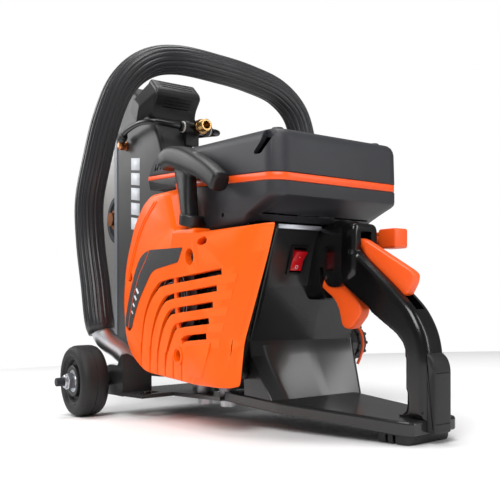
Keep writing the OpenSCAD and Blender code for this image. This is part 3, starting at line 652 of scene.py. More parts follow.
def along(line, z):
    """X on a rising line of X and Z points at height z."""
    for (x0, z0), (x1, z1) in zip(line, line[1:]):
        if z <= z1:
            return x0 + (x1 - x0) * (z - z0) / (z1 - z0)
    return line[-1][0]


def pad(i):
    """One of the raised steps on the sloping rear facet, in line with the bars between the slots."""
    high = 120.6 - 14.0 * i
    low = high - 7.6
    corners = [(along(FACET_INNER, high) + 2.5, high, 100.0), (along(FACET_INNER, low) + 2.5, low,
        100.0), (along(FACET_OUTER, low + 2) + 4.5, low + 2, 96.3), (along(FACET_OUTER, high + 2) + 4.5,
        high + 2, 96.3)]
    foot = [(x, y - 2.0, z) for x, z, y in corners]
    top = [(x, y + 0.75, z) for x, z, y in corners]
    return loft([foot, top])


def starter_body():
    """The cover's wall, hollow and without openings."""
    loops = starter_loops()
    radii = [5, 3, 12, 14, 16, 20, 20, 16, 8, 6, 7, 8, 4, 3, 6, 6]
    body = loft([rounded(loop, radii, 5) for loop in loops][::-1])
    skirt_line = [(246, 22), (330, 20), (372, 42), (390, 70), (394, 95), (388, 138), (362, 186),
        (330, 208), (254, 208), (244, 166)]
    skirt = slab(rounded(skirt_line, [4, 14, 16, 18, 22, 22, 18, 10, 6, 4], 5), 52, 86, rim=5, rim0=0)
    body = fuse(body, skirt)
    room = slab(rounded([(166, 36), (200, 28), (308, 30), (339, 45), (351, 63), (354, 92), (350, 130),
        (331, 161), (311, 188), (298, 195), (282, 195), (258, 155), (212, 152), (142, 152)], 6), 50,
        92.5)
    spring_room = pin((CRANK[0], 90, CRANK[1]), (CRANK[0], 96.4, CRANK[1]), 37, 48)
    return cut(body, room, spring_room)


def starter_openings():
    """The slots, holes and vents through the cover."""
    tools = [slab(line, 88, 104) for line in louvre_paths()]
    for x, z in ((317.5, 40), (297.7, 38), (281.5, 37), (265.4, 34), (249.5, 33), (233.5, 34)):
        tools.append(slab(ribbon([(x, z + 14), (x + 0.4, 8)], [2.6, 2.6]), 97.6, 104))
    for x, z in BOSSES[:3]:
        tools.append(pin((x, 91, z), (x, 104, z), 5.2, 32))
    tools.append(slab(rounded([(211.5, 136), (214, 144.5), (221.5, 147), (227.5, 142), (226, 133),
        (218, 129.6)], 5, 5), 88, 104))
    tools.append(slab(rounded([(188.5, 152.6), (193, 156), (205, 153.2), (206.5, 149.2), (200, 147.4),
        (190.5, 149.4)], 2.4, 4), 88, 104))
    return tools


def starter_raised():
    """What stands out of the cover: screw ring, rope socket, strut, panel, ribs and pads."""
    ring = slab(arc(240, 47, 8.6, 0, 352, 44), 92.5, 101.3, rim=0.9)
    ring = cut(ring, pin((240, 90, 47), (240, 104, 47), 6.3, 44))
    socket = slab(rounded([(212, 150), (212, 164.5), (249, 166), (251, 150)], 3), 81, 99.2, rim=3,
        rim0=2)
    socket = cut(socket, pin((229, 93, 150), (229, 93, 170), 3.2, 20))
    strut = slab(ribbon([(249.5, 122), (248.5, 103), (245.5, 80), (240, 55)], [5.0, 5.0, 5.0, 5.0]),
        95.9, 98.2)
    ribs = []
    for gap in (0.0, 5.2):
        line = [(283 + gap, 195.5), (313 + gap * 0.8, 174), (332 + gap * 0.7, 148),
            (347 + gap * 0.6, 119)]
        path = flat_spline(line, 6)
        ribs.append(slab(ribbon(path, [1.7] * len(path)), 97.5, 100.8, rim=0.4))
    panel_line = rounded([(183, 62.5), (228, 57), (227, 30), (197, 30.5)], [2, 8, 4, 4], 4)
    panel = slab(panel_line, 99, 100.5, rim=0.4)
    return [ring, socket, strut, panel, *ribs, *[pad(i) for i in range(5)]]


def starter_cover():
    body = cut(starter_body(), *starter_openings())
    piece("starter_shell", join(body, *starter_raised()), "orange", "frame", ["starter_cover"],
        edge=0.7, segments=3, angle=28)


def fan_housing():
    """The slanted housing behind the starter cover."""
    inner = [(199, 30), (207, 24), (254, 24), (258, 160), (161.5, 160), (171, 136), (198.5, 62)]
    outer = [(160, 38), (178, 27), (254, 24), (258, 160), (112, 161), (121, 136), (153.5, 64)]
    corners = [6, 6, 2, 2, 3, 12, 8]
    rings = []
    for line, y in ((inner, 48.3), (outer, 83.5)):
        rings.append([(x, y, z) for x, z in rounded(line, corners, 4)])
    housing = cut(loft(rings), slab(rounded([(203, 44), (250, 30), (250, 154), (176, 154)], 6), 46, 81),
        pin((CRANK[0], 78, CRANK[1]), (CRANK[0], 90, CRANK[1]), 53, 64))
    piece("fan_housing", housing, "gloss", "frame", edge=0.5)


def starter_trim():
    """The badge with its thin line and tick marks, and the screws."""
    outline = rounded([(232, 147.6), (302, 148.4), (319, 142.5), (331, 128), (345, 103), (354, 79),
        (354.6, 69.5), (339.5, 67.6), (335.8, 77), (323.4, 97), (308, 113), (296, 125), (286, 128.8),
        (241, 134.2)], [2, 8, 8, 12, 12, 6, 2, 2, 6, 12, 12, 8, 8, 2], 4)
    piece("starter_badge", slab(outline, 99.7, 100.55, rim=0.3), "badge", "frame", ["starter_decal"],
        edge=0)
    line = [(299.5, 148.2), (304, 141), (321, 124), (334, 103), (343, 82), (346.6, 68.8)]
    path = flat_spline(line, 8)
    piece("badge_line", slab(ribbon(path, [0.55] * len(path)), 100.4, 100.75), "stripe", "frame")
    ticks = []
    for i, (x, z) in enumerate([(325.5, 106.5), (330, 99.5), (334, 92), (337.5, 84.5)]):
        size = 3.6 - 0.5 * i
        tick = [(x - size, z - size * 0.2), (x - size * 0.35, z - size * 0.75),
            (x + size, z + size * 0.55), (x + size * 0.35, z + size * 1.1)]
        ticks.append(slab(tick, 100.4, 100.75))
    piece("badge_ticks", join(*ticks), "mark", "frame")
    screws = []
    for x, z in BOSSES:
        screw = rod((x, 84, z), (x, 96, z), [(0, 2.6), (8, 2.6), (8.2, 4.2), (11, 4.6), (11.8, 4.1)],
            32)
        screws.append(cut(screw, rod((x, 93.4, z), (x, 97, z), [(0, 2.2), (4, 2.2)], 6)))
    piece("starter_bolts", join(*screws), "dark_steel", "frame", ["starter_screws"], edge=0.2)


PULL_Y = 93
PULL_STEPS = 28


def pull_handle():
    """Cross grip with an arched back, a tapering stem and a collar."""
    back = [(277.5, 233.5), (262, 236.2), (240, 231), (215, 221.5), (195, 212), (177, 200.5)]
    top = spline([(x, PULL_Y, z) for x, z in back], 6)
    n = len(top)

    def section(i):
        t = i / (n - 1)
        high = 10.2 - 1.2 * t + 1.2 * math.exp(-((t - 0.45) / 0.2) ** 2)
        wide = 9.6 - 0.8 * t
        if i == 0 or i == n - 1:
            high, wide = high * 0.8, wide * 0.8
        out = []
        for a in turns(PULL_STEPS):
            out.append((squared(math.cos(a), 0.62) * high, squared(math.sin(a), 0.62) * wide))
        return out

    bar = sweep(top, section, (0, 1, 0))
    levels = [(232, 233, 17, 7), (239, 222, 15, 7), (237, 211, 12, 7), (234.5, 200, 9.6, 7.2),
        (232.5, 188, 8.3, 7.4), (230.5, 176, 8.0, 7.6), (229.8, 168.6, 8.0, 7.6)]
    loops = []
    for x, z, half_x, half_y in levels:
        ring = []
        for a in turns(PULL_STEPS):
            across = squared(math.cos(a), 0.7) * half_x
            ring.append((x + across, PULL_Y + squared(math.sin(a), 0.7) * half_y, z + across * -0.1))
        loops.append(ring)
    stem = loft(loops)
    grip = melt(join(bar, stem), 0.9, 10)
    piece("starter_grip", grip, "matte", "pull", ["pull_handle"])
    lean = math.radians(13)
    axis = Vector((-math.sin(lean), 0, math.cos(lean)))
    foot = Vector((229, PULL_Y, 167))
    collar = rod(foot, foot + axis, [(0.4, 9.8), (1.2, 11), (9.4, 11.4), (10.6, 10.6), (11.2, 9.0)], 48)
    rope = rod(foot - axis * 30, foot, [(0, 1.7), (31, 1.7)], 16)
    piece("starter_collar", collar, "matte", "pull", edge=0.3)
    piece("starter_rope", rope, "paper", "pull")


# ---- filter cover ----
ROOF = [(115, 239.0), (122, 241.5), (190, 246.0), (262, 248.6), (296, 246.6), (314, 239.5), (326, 231)]
PLAN = [(115.6, -56), (126, -66), (285, -66), (318, -44), (326, -24), (326, 42), (318, 60), (285, 80),
    (126, 80), (115.6, 70)]
PLAN_R = [7, 7, 20, 16, 10, 10, 16, 20, 7, 7]
COVER_REAR = 115.6
COVER_LENGTH = 210.4


def roof(x):
    """Height of the cover's top."""
    for (x0, z0), (x1, z1) in zip(ROOF, ROOF[1:]):
        if x <= x1:
            return z0 + (z1 - z0) * max(0.0, x - x0) / (x1 - x0)
    return ROOF[-1][1]


def cover_loft(rings, caps=True):
    """A skin through rings of the plan outline, squeezed to rear..front in X and inset by d.

    Each ring is (rear, front, line, height above that line, d); line gives a height for each X.
    """
    loops = []
    for rear, front, line, above, d in rings:
        loop = []
        for x, y in inset(rounded(PLAN, PLAN_R, 5), d):
            px = rear + (x - COVER_REAR) * (front - rear) / COVER_LENGTH
            loop.append((px, y, line(px) + above))
        loops.append(loop)
    return loft(loops, caps)


def level(_):
    """A line of even height."""
    return 0.0


def stripe_low(x):
    """Lower edge of the orange stripe."""
    return 197.4 + (x - COVER_REAR) * 0.069


def shoulder(x):
    """Where the cover's side meets its slope."""
    return (x - COVER_REAR) * 0.045


def rear_lift(x):
    """How much higher the cover's lower edge is at the rear, where it clears the wall's trim strip."""
    return 9.0 * min(1.0, max(0.0, (182 - x) / 27))


def filter_cover():
    shell = cover_loft([(155, 298, rear_lift, 158.4, 5.0), (152.5, 300, rear_lift, 160.0, 2.2),
        (151, 302, rear_lift, 162.5, 0.6), (149, 304, rear_lift, 165.0, 0.2),
        (119.2, 316, shoulder, 184.2, 0.1), (116.4, 318, shoulder, 186.2, 0.0),
        (115.7, 319, shoulder, 188.6, 0.0), (115.6, 323, stripe_low, -0.5, 0.0),
        (115.6, 323, stripe_low, 0, 0.5), (115.6, 323, stripe_low, 0, 1.7),
        (115.6, 324, stripe_low, 7.2, 1.7), (115.6, 324, stripe_low, 7.2, 0.5),
        (115.6, 324, stripe_low, 7.7, 0.0), (116.4, 325, roof, -9.0, 0.2),
        (116.6, 325, roof, -5.6, 0.9), (116.8, 325, roof, -3.0, 2.4), (117.0, 325, roof, -1.2, 4.8),
        (117.2, 325, roof, -0.3, 8.0), (117.4, 325, roof, 0, 12.0)])
    hollow = cover_loft([
        (156, 296, level, 150.0, 6.0), (152, 300, level, 170.0, 4.0), (120, 318, level, 190.0, 4.0),
        (120, 320, roof, -8.0, 5.0), (121, 320, roof, -5.0, 12.0)])
    tools = [hollow]
    notch = rounded([(121.5, 236.5), (127.5, 244), (135, 244), (135, 233.6), (147, 224), (145.6, 221.6),
        (136.4, 221.2), (128.6, 227.6)], [2, 1, 1, 4, 1.6, 1.6, 3, 3], 4)
    tools.append(slab(notch, 73.5, 84))
    tools.append(slab(notch, -70, -59.5))
    tools.append(pin((194.8, 74, 175.4), (194.8, 84, 175.4), 2.3, 24))
    for i in range(5):
        x = 291 + 5.4 * i
        tools.append(moved(block(-1.3, 1.3, -16, 16, -6.5, 6.5), Matrix.Translation((x,
            79 - 0.95 * (x - 291), 228)) @ Matrix.Rotation(math.radians(16), 4, "Y")))
    tools.append(pin((90, -34, 155), (170, -34, 155), 6.4, 24))
    shell = cut(shell, *tools)
    piece("filter_lid", shell, "cover", "frame", ["filter_cover"], edge=0.5,
        segments=2, angle=40)
    band = cover_loft([(COVER_REAR, front, stripe_low, above, d) for front, above,
        d in ((323, 0.25, 3.2), (323, 0.25, 0.9), (323, 0.65, 0.4), (324, 6.55, 0.4), (324, 6.95, 0.9),
        (324, 6.95, 3.2))], caps=False)
    close_ring(band)
    piece("lid_stripe", band, "stripe", "frame", ["cover_stripe"])
    screws = []
    for x, y in ((136, 63), (136, -49), (272, 63), (272, -49)):
        z = roof(x)
        screw = rod((x, y, z - 44), (x, y, z + 1), [(0, 2.6), (42, 2.6), (42.2, 5.4), (44.8, 5.4),
            (45.8, 4.6)], 32)
        screws.append(cut(screw, rod((x, y, z - 0.6), (x, y, z + 3), [(0, 2.5), (5, 2.5)], 6)))
    piece("lid_screws", join(*screws), "dark_steel", "frame", ["cover_screws"], edge=0.25)


def close_ring(bm):
    """Joins a band's two open edges on its inside."""
    edges = [e for e in bm.edges if e.is_boundary]
    bmesh.ops.bridge_loops(bm, edges=edges)
    bmesh.ops.recalc_face_normals(bm, faces=bm.faces)


def front_nose():
    """The end of the top cover that shows in front of the pull handle, with its intake slots."""
    lower = slab(rounded([(300, 214), (368, 219), (371, 230.4), (300, 226.4)], 2), 18, 65, rim=1.2)
    band = slab(rounded([(300, 226), (371.4, 230.2), (370, 234.6), (300, 230.4)], 0.6), 18, 65.5,
        rim=0.8)
    upper = slab(rounded([(300, 230), (370, 234.4), (363, 248), (345, 255), (300, 257)],
        [1, 1, 8, 12, 1]), 18, 65, rim=2)
    slots = [slab([(x, 238.5), (x + 2.6, 238.5), (x - 0.4, 246), (x - 3, 246)], 62,
        68) for x in (336, 342, 348, 354)]
    piece("nose_lower", lower, "matte", "frame", edge=0.3)
    piece("nose_band", band, "stripe", "frame", edge=0.2)
    piece("nose_upper", cut(upper, *slots), "cover", "frame", edge=0.4)


# ---- tank, rear handle and controls ----
# Z, right edge X, crease X, inner end of the left chamfer (X, Y), left edge X
TANK_LEVELS = [(0.4, 160, 162, (163, 32), 167.5), (9, 159, 160, (160, 32), 163.5), (47, 168.6, 179,
    (189, 35), 196), (57, 171, 183, (194.6, 36), 197.6), (61, 172, 184.6, (196.4, 40), 198), (66, 172.6,
    183, (195.2, 45), 195.8), (110, 166, 169, (178, 45), 178.6), (150, 157.6, 159.6, (162.6, 45),
    163.2), (164.4, 155.8, 156, (156.6, 45), 157.2)]


def tank():
    loops = []
    for z, right, crease, chamfer, left in TANK_LEVELS:
        plan = [(right + 2, -58), (right, -55), (crease, -12), chamfer, (left, 48), (238, 48),
            (238, -58)]
        plan = rounded(plan, [1.5, 1.5, 6, 2.5, 1.2, 2, 3], 4)
        loops.append([(px, py, z) for px, py in plan])
    body = loft(loops)
    switch_pocket = moved(block(-8, 8, -6.9, 6.9, -11.4, 12.5), wall_frame())
    fuel = slab([(175, 8), (205, 8), (205, 56), (201, 56)], -50, 42)
    void = slab([(177, 158), (203, 84), (205, 84), (204, 159)], -54, 6)
    front = slab([(206, -2), (210, 64), (206, 170), (245, 170), (245, 9), (211, 9), (211, -2)], -70, 60)
    body = cut(body, switch_pocket, fuel, void, front)
    base_plan = rounded([(22, -25), (22, 25), (30, 28.5), (152, 49), (240, 49), (240, -49), (152, -49),
        (30, -28.5)], [5, 5, 8, 8, 1, 1, 8, 8], 4)
    base = plate(base_plan, 0.0, 10.5, rim=2.0, rim0=1.5)
    base = cut(base, plate(inset(base_plan, 5), -1, 5.5), block(208, 260, -60, 60, 8.9, 20))
    edge = slab([(159.5, 162.6), (159.5, 166.6), (154.6, 166.4), (153.8, 162.4)], -2, 48, rim=0.5)
    neck = cap_neck()
    piece("tank_shell", join(body, base, neck), "gloss", "frame", ["tank_housing"],
        edge=1.3, segments=3, angle=14)
    piece("wall_edge", edge, "silver", "frame", edge=0.2)


def cap_neck():
    ring = rod((190, -50, 56), (190, -70, 56), [(0, 17.5), (8, 17.5), (9, 16), (15.8, 16)], 48)
    return cut(ring, rod((192, -52, 50), (192, -70, 50), [(0, 8.6), (18, 8.6)], 32))


def wall_frame():
    """Frame on the switch wall: +X out of it, +Z up it."""
    lean = math.radians(20.4)
    place = Matrix.Translation((166.4, 19, 136))
    return place @ Matrix.Rotation(-lean, 4, "Y") @ Matrix.Diagonal((-1, 1, 1, 1))


def switch():
    """The rocker in its bezel, with the usual I and O."""
    frame_bars = block(0.2, 3.2, -9.2, 9.2, -13.4, 13.4)
    hole = block(-2, 8, -6.8, 6.8, -11.2, 12.3)
    axle_way = pin((1.6, -10, 0), (1.6, 10, 0), 1.0, 16)
    bezel = cut(frame_bars, hole, axle_way)
    piece("rocker_bezel", moved(bezel, wall_frame()), "matte", "frame", ["switch_bezel"], edge=0.8,
        segments=3)
    profile = rounded([(0.4, -9.6), (3.6, -9.6), (3.4, -3.0), (3.8, 1.5), (7.4, 9.0), (6.8, 9.7),
        (0.4, 9.7)], [0.4, 0.6, 3, 3, 0.6, 0.6, 0.4], 3)
    rocker = moved(slab(profile, -6.2, 6.2, rim=0.4), wall_frame())
    piece("rocker", rocker, "red", "rocker", ["switch_rocker"])
    stroke = block(4.3, 5.1, -0.3, 0.3, 3.4, 6.4)
    ring = cut(pin((3.0, 0, -6), (3.62, 0, -6), 1.75, 32), pin((2.0, 0, -6), (4, 0, -6), 1.25, 32))
    marks = moved(join(stroke, ring), wall_frame())
    piece("rocker_marks", marks, "mark", "rocker")


HANDLE = [(21, 11), (21, 56), (25, 76), (36, 94), (55, 110), (86, 133.5), (94, 143), (94, 162),
    (104, 164.5), (150, 164), (158, 158), (172, 122), (160, 112), (112, 110.5), (81, 90.5), (51, 73),
    (43.5, 66), (42, 56), (42, 16), (50, 8), (22, 8)]
HANDLE_R = [1, 14, 12, 14, 10, 6, 4, 3, 4, 4, 3, 8, 8, 14, 10, 12, 8, 8, 9, 1, 1]


def super_ring(x, z_low, z_high, half, power, skew, mid):
    """A rounded rectangle across the handle at x, whose middle is at mid."""
    out = []
    for a in turns(40):
        y = squared(math.cos(a), power) * half
        z = squared(math.sin(a), power)
        out.append((x + skew * z, mid + y, (z_low + z_high) / 2 + z * (z_high - z_low) / 2))
    return out


# the neck between the grip and the tank: super_ring()'s arguments for each section
SWELL = [(95.5, 121, 162, 13.0, 0.3, 0, 0), (97, 119, 164.4, 14.6, 0.3, 0, 0),
    (103, 116, 165.6, 15.2, 0.3, 0, 0), (110, 113, 166.4, 15.0, 0.34, 0, 0),
    (113, 112, 168, 14.2, 0.45, 0, 0), (122, 109, 170, 14.6, 0.6, 0, -2),
    (134, 105, 170, 15, 0.62, 0, -5.5), (146, 101, 168, 14.6, 0.56, 0, -9),
    (158, 99, 165, 14, 0.5, -3, -11.5), (176, 99, 160, 14, 0.4, -8, -11.5)]


def rear_handle():
    grip_line = rounded(HANDLE[:6] + [(100, 146), (114, 150), (128, 120), (112, 110.5)] + HANDLE[14:],
        [1, 14, 12, 14, 10, 4, 3, 3, 3, 12] + HANDLE_R[14:], 5)
    grip = slab(grip_line, -12.5, 12.5, rim=6.5, steps=6)
    swell = loft([super_ring(*ring) for ring in SWELL])
    body = melt(join(grip, swell), 1.0, 9)
    cuts = [
        slab([(82, 82), (82, 106), (118, 127), (150, 129), (150, 96)], -6.6, 6.6),
        slab([(30, 97), (52, 85), (107, 131), (107, 156), (80, 160), (84, 142)], -4.8, 4.8),
        slab([(90, 142), (102, 144), (102, 157.5), (90, 157.5)], -6.2, 6.2),
        block(102, 116, -7.5, 7.5, 158, 172),
        slab([(158.6, 166.4), (196.6, 64), (230, 64), (230, 180), (150, 180), (158, 170)], -60, 60),
        pin((138, -30, 120), (138, 30, 120), 2.4, 20),
        pin((99, -30, 140), (99, 30, 140), 2.5, 20),
    ]
    body = cut(body, *cuts)
    piece("handle_body", body, "gloss", "frame", ["rear_handle"], sharp=38)
    strip_line = rounded([(13.8, 1.0), (13.8, 50), (17, 58), (24.6, 62), (24.6, 1.0)], [2, 6, 4, 1, 1],
        4)
    strip = slab(strip_line, -9.4, 9.4, rim=2.6, rim0=2.6, steps=4)
    strip = cut(strip, slab([(21.6, -2), (21.6, 56), (23.4, 68), (60, 68), (60, -2)], -12.6, 12.6),
        block(10, 14.6, -20, 20, 8, 9), block(10, 14.6, -20, 20, 46, 47))
    piece("handle_bumper", strip, "rubber", "frame", ["handle_strip"], edge=0.4)


def ground(x):
    """Height of the floor under the body, in the body's own nose-down frame."""
    return -LIFT / math.cos(NOSE_UP) - x * math.tan(NOSE_UP)


def foot():
    plan = rounded([(27, -24), (27, 24), (61, 24), (61, -24)], 5, 4)
    loops = []
    for drop, d in ((0.0, 0.0), (0.75, 0.0), (0.97, 0.8), (1.0, 2.0)):
        ring = []
        for x, y in inset(plan, d) if d else plan:
            ring.append((x, y, 1.0 + (ground(x) - 1.0) * drop))
        loops.append(ring)
    pad_body = loft(loops)
    slots = [block(40, 43, -30, 30, -20, -2.2), block(48, 50.5, -30, 30, -20, -2.6)]
    pad_body = cut(pad_body, *slots)
    piece("foot_pad", pad_body, "rubber", "frame", ["rear_foot"], edge=0.4)


def trigger_and_pins():
    trigger = rounded([(147, 111), (139, 126.4), (131, 124.4), (100, 99.5), (95.4, 92), (97.4, 86),
        (107.5, 75.6), (113, 74.4), (118.6, 76), (121, 80), (124, 92), (131, 101), (141, 107)], [3, 5,
        4, 4, 5, 6, 5, 3, 4, 8, 12, 8, 4], 4)
    pins = join(pin((138, -18, 120), (138, 6.5, 120), 2.35, 24, 0.4), pin((99, -12.9, 140),
        (99, 12.9, 140), 2.35, 24, 0.4))
    piece("lever_pins", pins, "steel", "frame", ["control_pins"])
    shape = slab(trigger, -5.6, 5.6, rim=2.2, steps=4)
    shape = cut(shape, pin((138, -10, 120), (138, 10, 120), 2.55, 20))
    piece("trigger", shape, "control", "trigger", ["throttle_trigger"])


def lockout():
    lever = rounded([(105.5, 139), (105.8, 147.6), (100, 152.6), (94, 150.6), (44, 124), (39.4, 120.6),
        (40.4, 114), (46.4, 104.6), (50.6, 103.4), (80, 124)], [3, 3, 3, 4, 4, 3, 6, 4, 2, 10], 4)
    shape = slab(lever, -4.2, 4.2, rim=1.6, steps=4)
    shape = cut(shape, pin((99, -10, 140), (99, 10, 140), 2.55, 20))
    piece("lockout", shape, "control", "lockout", ["throttle_lockout"])


def choke():
    knob = slab(rounded([(87, 144.4), (87, 161.6), (107.4, 161.6), (107.4, 144.4)], 2.4, 4), -42, -26,
        rim=1.6)
    rod_body = rod((107, -34, 155), (157, -34, 155), [(0, 4), (50, 4)], 24)
    neck = rod((106, -34, 153.5), (118, -34, 153.5), [(0, 6.4), (3, 5.6), (5, 6.2), (7, 5.2), (9, 5.8),
        (11.8, 4.6)], 24)
    hook = slab(rounded([(107, 159.5), (118, 158.6), (118, 156.4), (107, 156.4)], 0.8), -40, -28,
        rim=0.6)
    piece("choke_pull_knob", join(knob, rod_body, neck, hook), "control", "choke", ["choke_knob"],
        edge=0.3)


def fuel_cap():
    cap = rod((190, -66.6, 56), (190, -80, 56), [(0, 15.8), (1, 17), (9.6, 17.2), (11.4, 15.6),
        (11.5, 12.4), (9, 12.0)], 48)
    grips = []
    for a in (math.radians(30 * k) for k in range(12)):
        x, z = 190 + 16.9 * math.cos(a), 56 + 16.9 * math.sin(a)
        grips.append(pin((x, -67.2, z), (x, -77.6, z), 1.7, 14, 0.5))
    bar = slab(rounded([(179, 53.4), (179, 58.6), (201, 58.6), (201, 53.4)], 1.2), -78, -74.5, rim=0.8)
    piece("tank_cap", join(cap, bar, *grips), "matte", "cap", ["fuel_cap"],
        edge=0.3)


# ---- front handle ----
TUBE = [(394, -10, 17), (400, 30, 18), (410, 60, 24), (419, 79, 40), (428, 96, 60), (449, 96, 120),
    (463, 96, 168), (466, 96, 215), (456, 91, 262), (444, 83, 311), (430, 70, 351), (413, 47, 375),
    (400, 12, 383), (396, -46, 381), (396, -90, 377), (394, -130, 367), (391, -158, 344),
    (386, -168, 310), (378, -168, 262), (366, -163, 216), (352, -150, 178), (338, -137, 152),
    (326, -131, 138)]
# the sleeve runs between these two points of the tube
GRIP_SPAN = (4, 18)
GRIP_STEPS = 7
GRIP_RIBS = 18


def front_handle():
    piece("handle_tube", sweep(spline(TUBE, 8), lambda i: circle(12, 40), (1, 0, 0)), "tube", "frame",
        ["front_handle_tube"])
    start, end = GRIP_SPAN
    path = spline(TUBE, GRIP_STEPS)[start * GRIP_STEPS:end * GRIP_STEPS + 1]
    last = len(path) - 1

    def ribbed(i):
        end = min(i, last - i)
        full = 17.0 if end > 1 else (15.6, 16.7)[end]
        out = []
        for a in turns(144):
            wave = abs(math.cos(GRIP_RIBS / 2 * a))
            groove = 1.15 * max(0.0, 1 - wave / 0.62) ** 0.8 if end > 1 else 0.0
            r = full - groove
            out.append((r * math.cos(a), r * math.sin(a)))
        return out

    sleeve = sweep(path, ribbed, (1, 0, 0))
    piece("handle_sleeve", sleeve, "grip", "frame", ["front_handle_grip"])


# ---- guard and its water kit ----
def guard_outline(r, x):
    """The guard's round edge, closed by the upright chord at x from the spindle."""
    cx, cz = SPINDLE
    half = math.degrees(math.acos(x / r))
    return arc(cx, cz, r, half, 360 - half, 72)


def guard():
    y0, y1 = DISC_Y - 25, DISC_Y + 25
    cx, cz = SPINDLE
    left = slab(guard_outline(GUARD_R, -34), y0 + 14, y1, rim=7, steps=5, rim0=0)
    right = slab(guard_outline(GUARD_R, 12), y0, y0 + 14, rim=0, rim0=5, steps=4)
    hollow = slab(arc(cx, cz, GUARD_R - 4, 0, 360, 120)[:-1], y0 + 3.2, y1 - 3, rim=4, rim0=3)
    open_front = block(cx + 12.2, cx + 260, y0 + 3.2, y1 + 5, cz - 220, cz + 220)
    open_left = block(cx - 33.8, cx + 30, y0 + 14, y1 + 5, cz - 220, cz + 220)
    hub = slab(arc(cx, cz, 49, 0, 360, 72)[:-1], y0, y0 + 6, rim=2, rim0=2)
    shell = fuse(left, right, hub)
    shell = cut(shell, hollow, open_front, open_left, pin((cx, y0 - 8, cz), (cx, y0 + 12, cz), 35.05,
        72))
    hub_face = slab(arc(cx, cz, 49, 0, 360, 72)[:-1], y0 + 0.4, y0 + 3.2, rim=1)
    hub_face = cut(hub_face, pin((cx, y0 - 8, cz), (cx, y0 + 12, cz), 35.05, 72))
    piece("guard_body", join(shell, hub_face), "guard", "guard", ["guard_shell"],
        edge=0.7, segments=3, angle=30)
    # The lighter grey strip along the guard's near edge is a painted highlight: it stands in for the
    # light caught on that rounded edge.
    lip_out = guard_outline(GUARD_R - 7.5, -34.2)
    chord = slab([(cx - 44, lip_out[0][1] - 4), (cx - 34.4, lip_out[0][1] + 1), (cx - 34.4,
        lip_out[-1][1] - 1), (cx - 44, lip_out[-1][1] + 4)], y1 - 1.4, y1 + 1.6, rim=1.2)
    piece("guard_edge_highlight", chord, "painted_highlight_grey", "guard", edge=0.3)
    marks = []
    for i in range(5):
        z = 287 - 20.5 * i
        marks.append(slab([(527, z), (553, z + 4), (553, z - 12.5), (527, z - 16.5)], y1 - 0.2,
            y1 + 0.25))
    piece("guard_marks", join(*marks), "mark", "guard")


def on_guard(angle):
    """Frame on the guard's rim, angle up from the front, with +X pointing out."""
    return (Matrix.Translation((SPINDLE[0], 0, SPINDLE[1])) @ Matrix.Rotation(-math.radians(angle), 4,
        "Y") @ Matrix.Translation((GUARD_R, 0, 0)))


def guard_lever():
    profile = rounded([(-1.5, -17), (5, -15.4), (11, -16), (27, -17.2), (33, -14), (33.6, 9),
        (30, 15.6), (12, 16.4), (5, 19.4), (-1.5, 25)], [1, 6, 5, 5, 4, 6, 5, 6, 8, 1], 5)
    body = slab(profile, -66, 0, rim=3.2, steps=5)
    grooves = []
    for u in (12.0, 16.6, 21.2, 25.8):
        grooves.append(moved(block(-0.7, 0.7, -52, -14, -1.6, 3.0), Matrix.Translation((u, 0, 16.9))))
    for z in (-9, -3, 3):
        grooves.append(moved(block(-1.2, 3, -56, -10, -0.8, 0.8), Matrix.Translation((33.4, 0, z))))
    body = cut(body, *grooves)
    near = [(1, -14), (30, -14), (31, 12), (14, 14), (1, 21)]
    far = [(-17, -10), (1, -12), (3, 8), (-8, 12), (-17, 16)]
    flare = loft([[(u, y, w) for u, w in rounded(line, 3, 4)] for line, y in ((near, -1.0),
        (inset(far, -1.5), 12.5), (far, 14.5))])
    side = slab(rounded([(8, -11), (27, -12), (28, 9), (13, 11.5)], 3), -1.2, 0.7, rim=0.6)
    screw = rod((6, -1.5, 12), (6, 1.2, 12), [(0, 2.6), (1.8, 2.6), (2.4, 2.0)], 24)
    body = moved(join(body, side, flare), on_guard(134))
    screw = moved(screw, on_guard(134))
    piece("guard_handle", body, "matte", "guard", ["guard_lever"], edge=0.6)
    piece("guard_screw", screw, "dark_steel", "guard", edge=0.2)


TEE = Vector((466, -52, 322))
HOSE_R = 3.6
HOSES = {"left": [(466, -27.8, 322), (467, -12, 323), (474, 6, 325), (494, 13, 327), (522, 13, 327),
    (547, 12, 324), (560, 10, 318.5)], "right": [(466, -78.2, 322), (468, -86, 322), (478, -92, 323),
    (500, -88, 325), (528, -74, 325), (547, -63, 323.5), (560, -60, 318.5)],}


def water_tee():
    """The tee on the guard's rim, with its bracket and clear rings."""
    x, y, z = TEE
    arms = []
    for s in (1, -1):
        arms.append(rod((x, y, z), (x, y + s, z), [(0, 7.4), (12.4, 7.4), (12.8, 8.6), (17.8, 8.6),
            (18.4, 8.0), (18.6, 6.4), (22.6, 6.2), (23.4, 5.4)], 36))
    arms.append(rod((x, y, z), (x - 1, y, z), [(0, 7.6), (9.6, 7.6)], 36))
    bracket = slab(rounded([(x - 2, z - 24), (x - 2, z + 6), (x + 10, z + 6), (x + 14, z - 8),
        (x + 13, z - 26)], 2), y - 4, y + 16, rim=1.2)
    body = fuse(arms[0], arms[1], arms[2], bracket)
    body = cut(body, pin((SPINDLE[0], -110, SPINDLE[1]), (SPINDLE[0], 70, SPINDLE[1]), GUARD_R + 0.02,
        200))
    piece("water_tee_body", body, "matte", "guard", ["water_tee"], edge=0.4)
    rings = []
    for s in (1, -1):
        rings.append(rod((x, y + s * 18.5, z), (x, y + s * 19.5, z), [(0, 6.9), (0.3, 7.3), (1.9, 7.3),
            (2.2, 6.8)], 36))
    piece("water_rings", join(*rings), "ring", "guard")


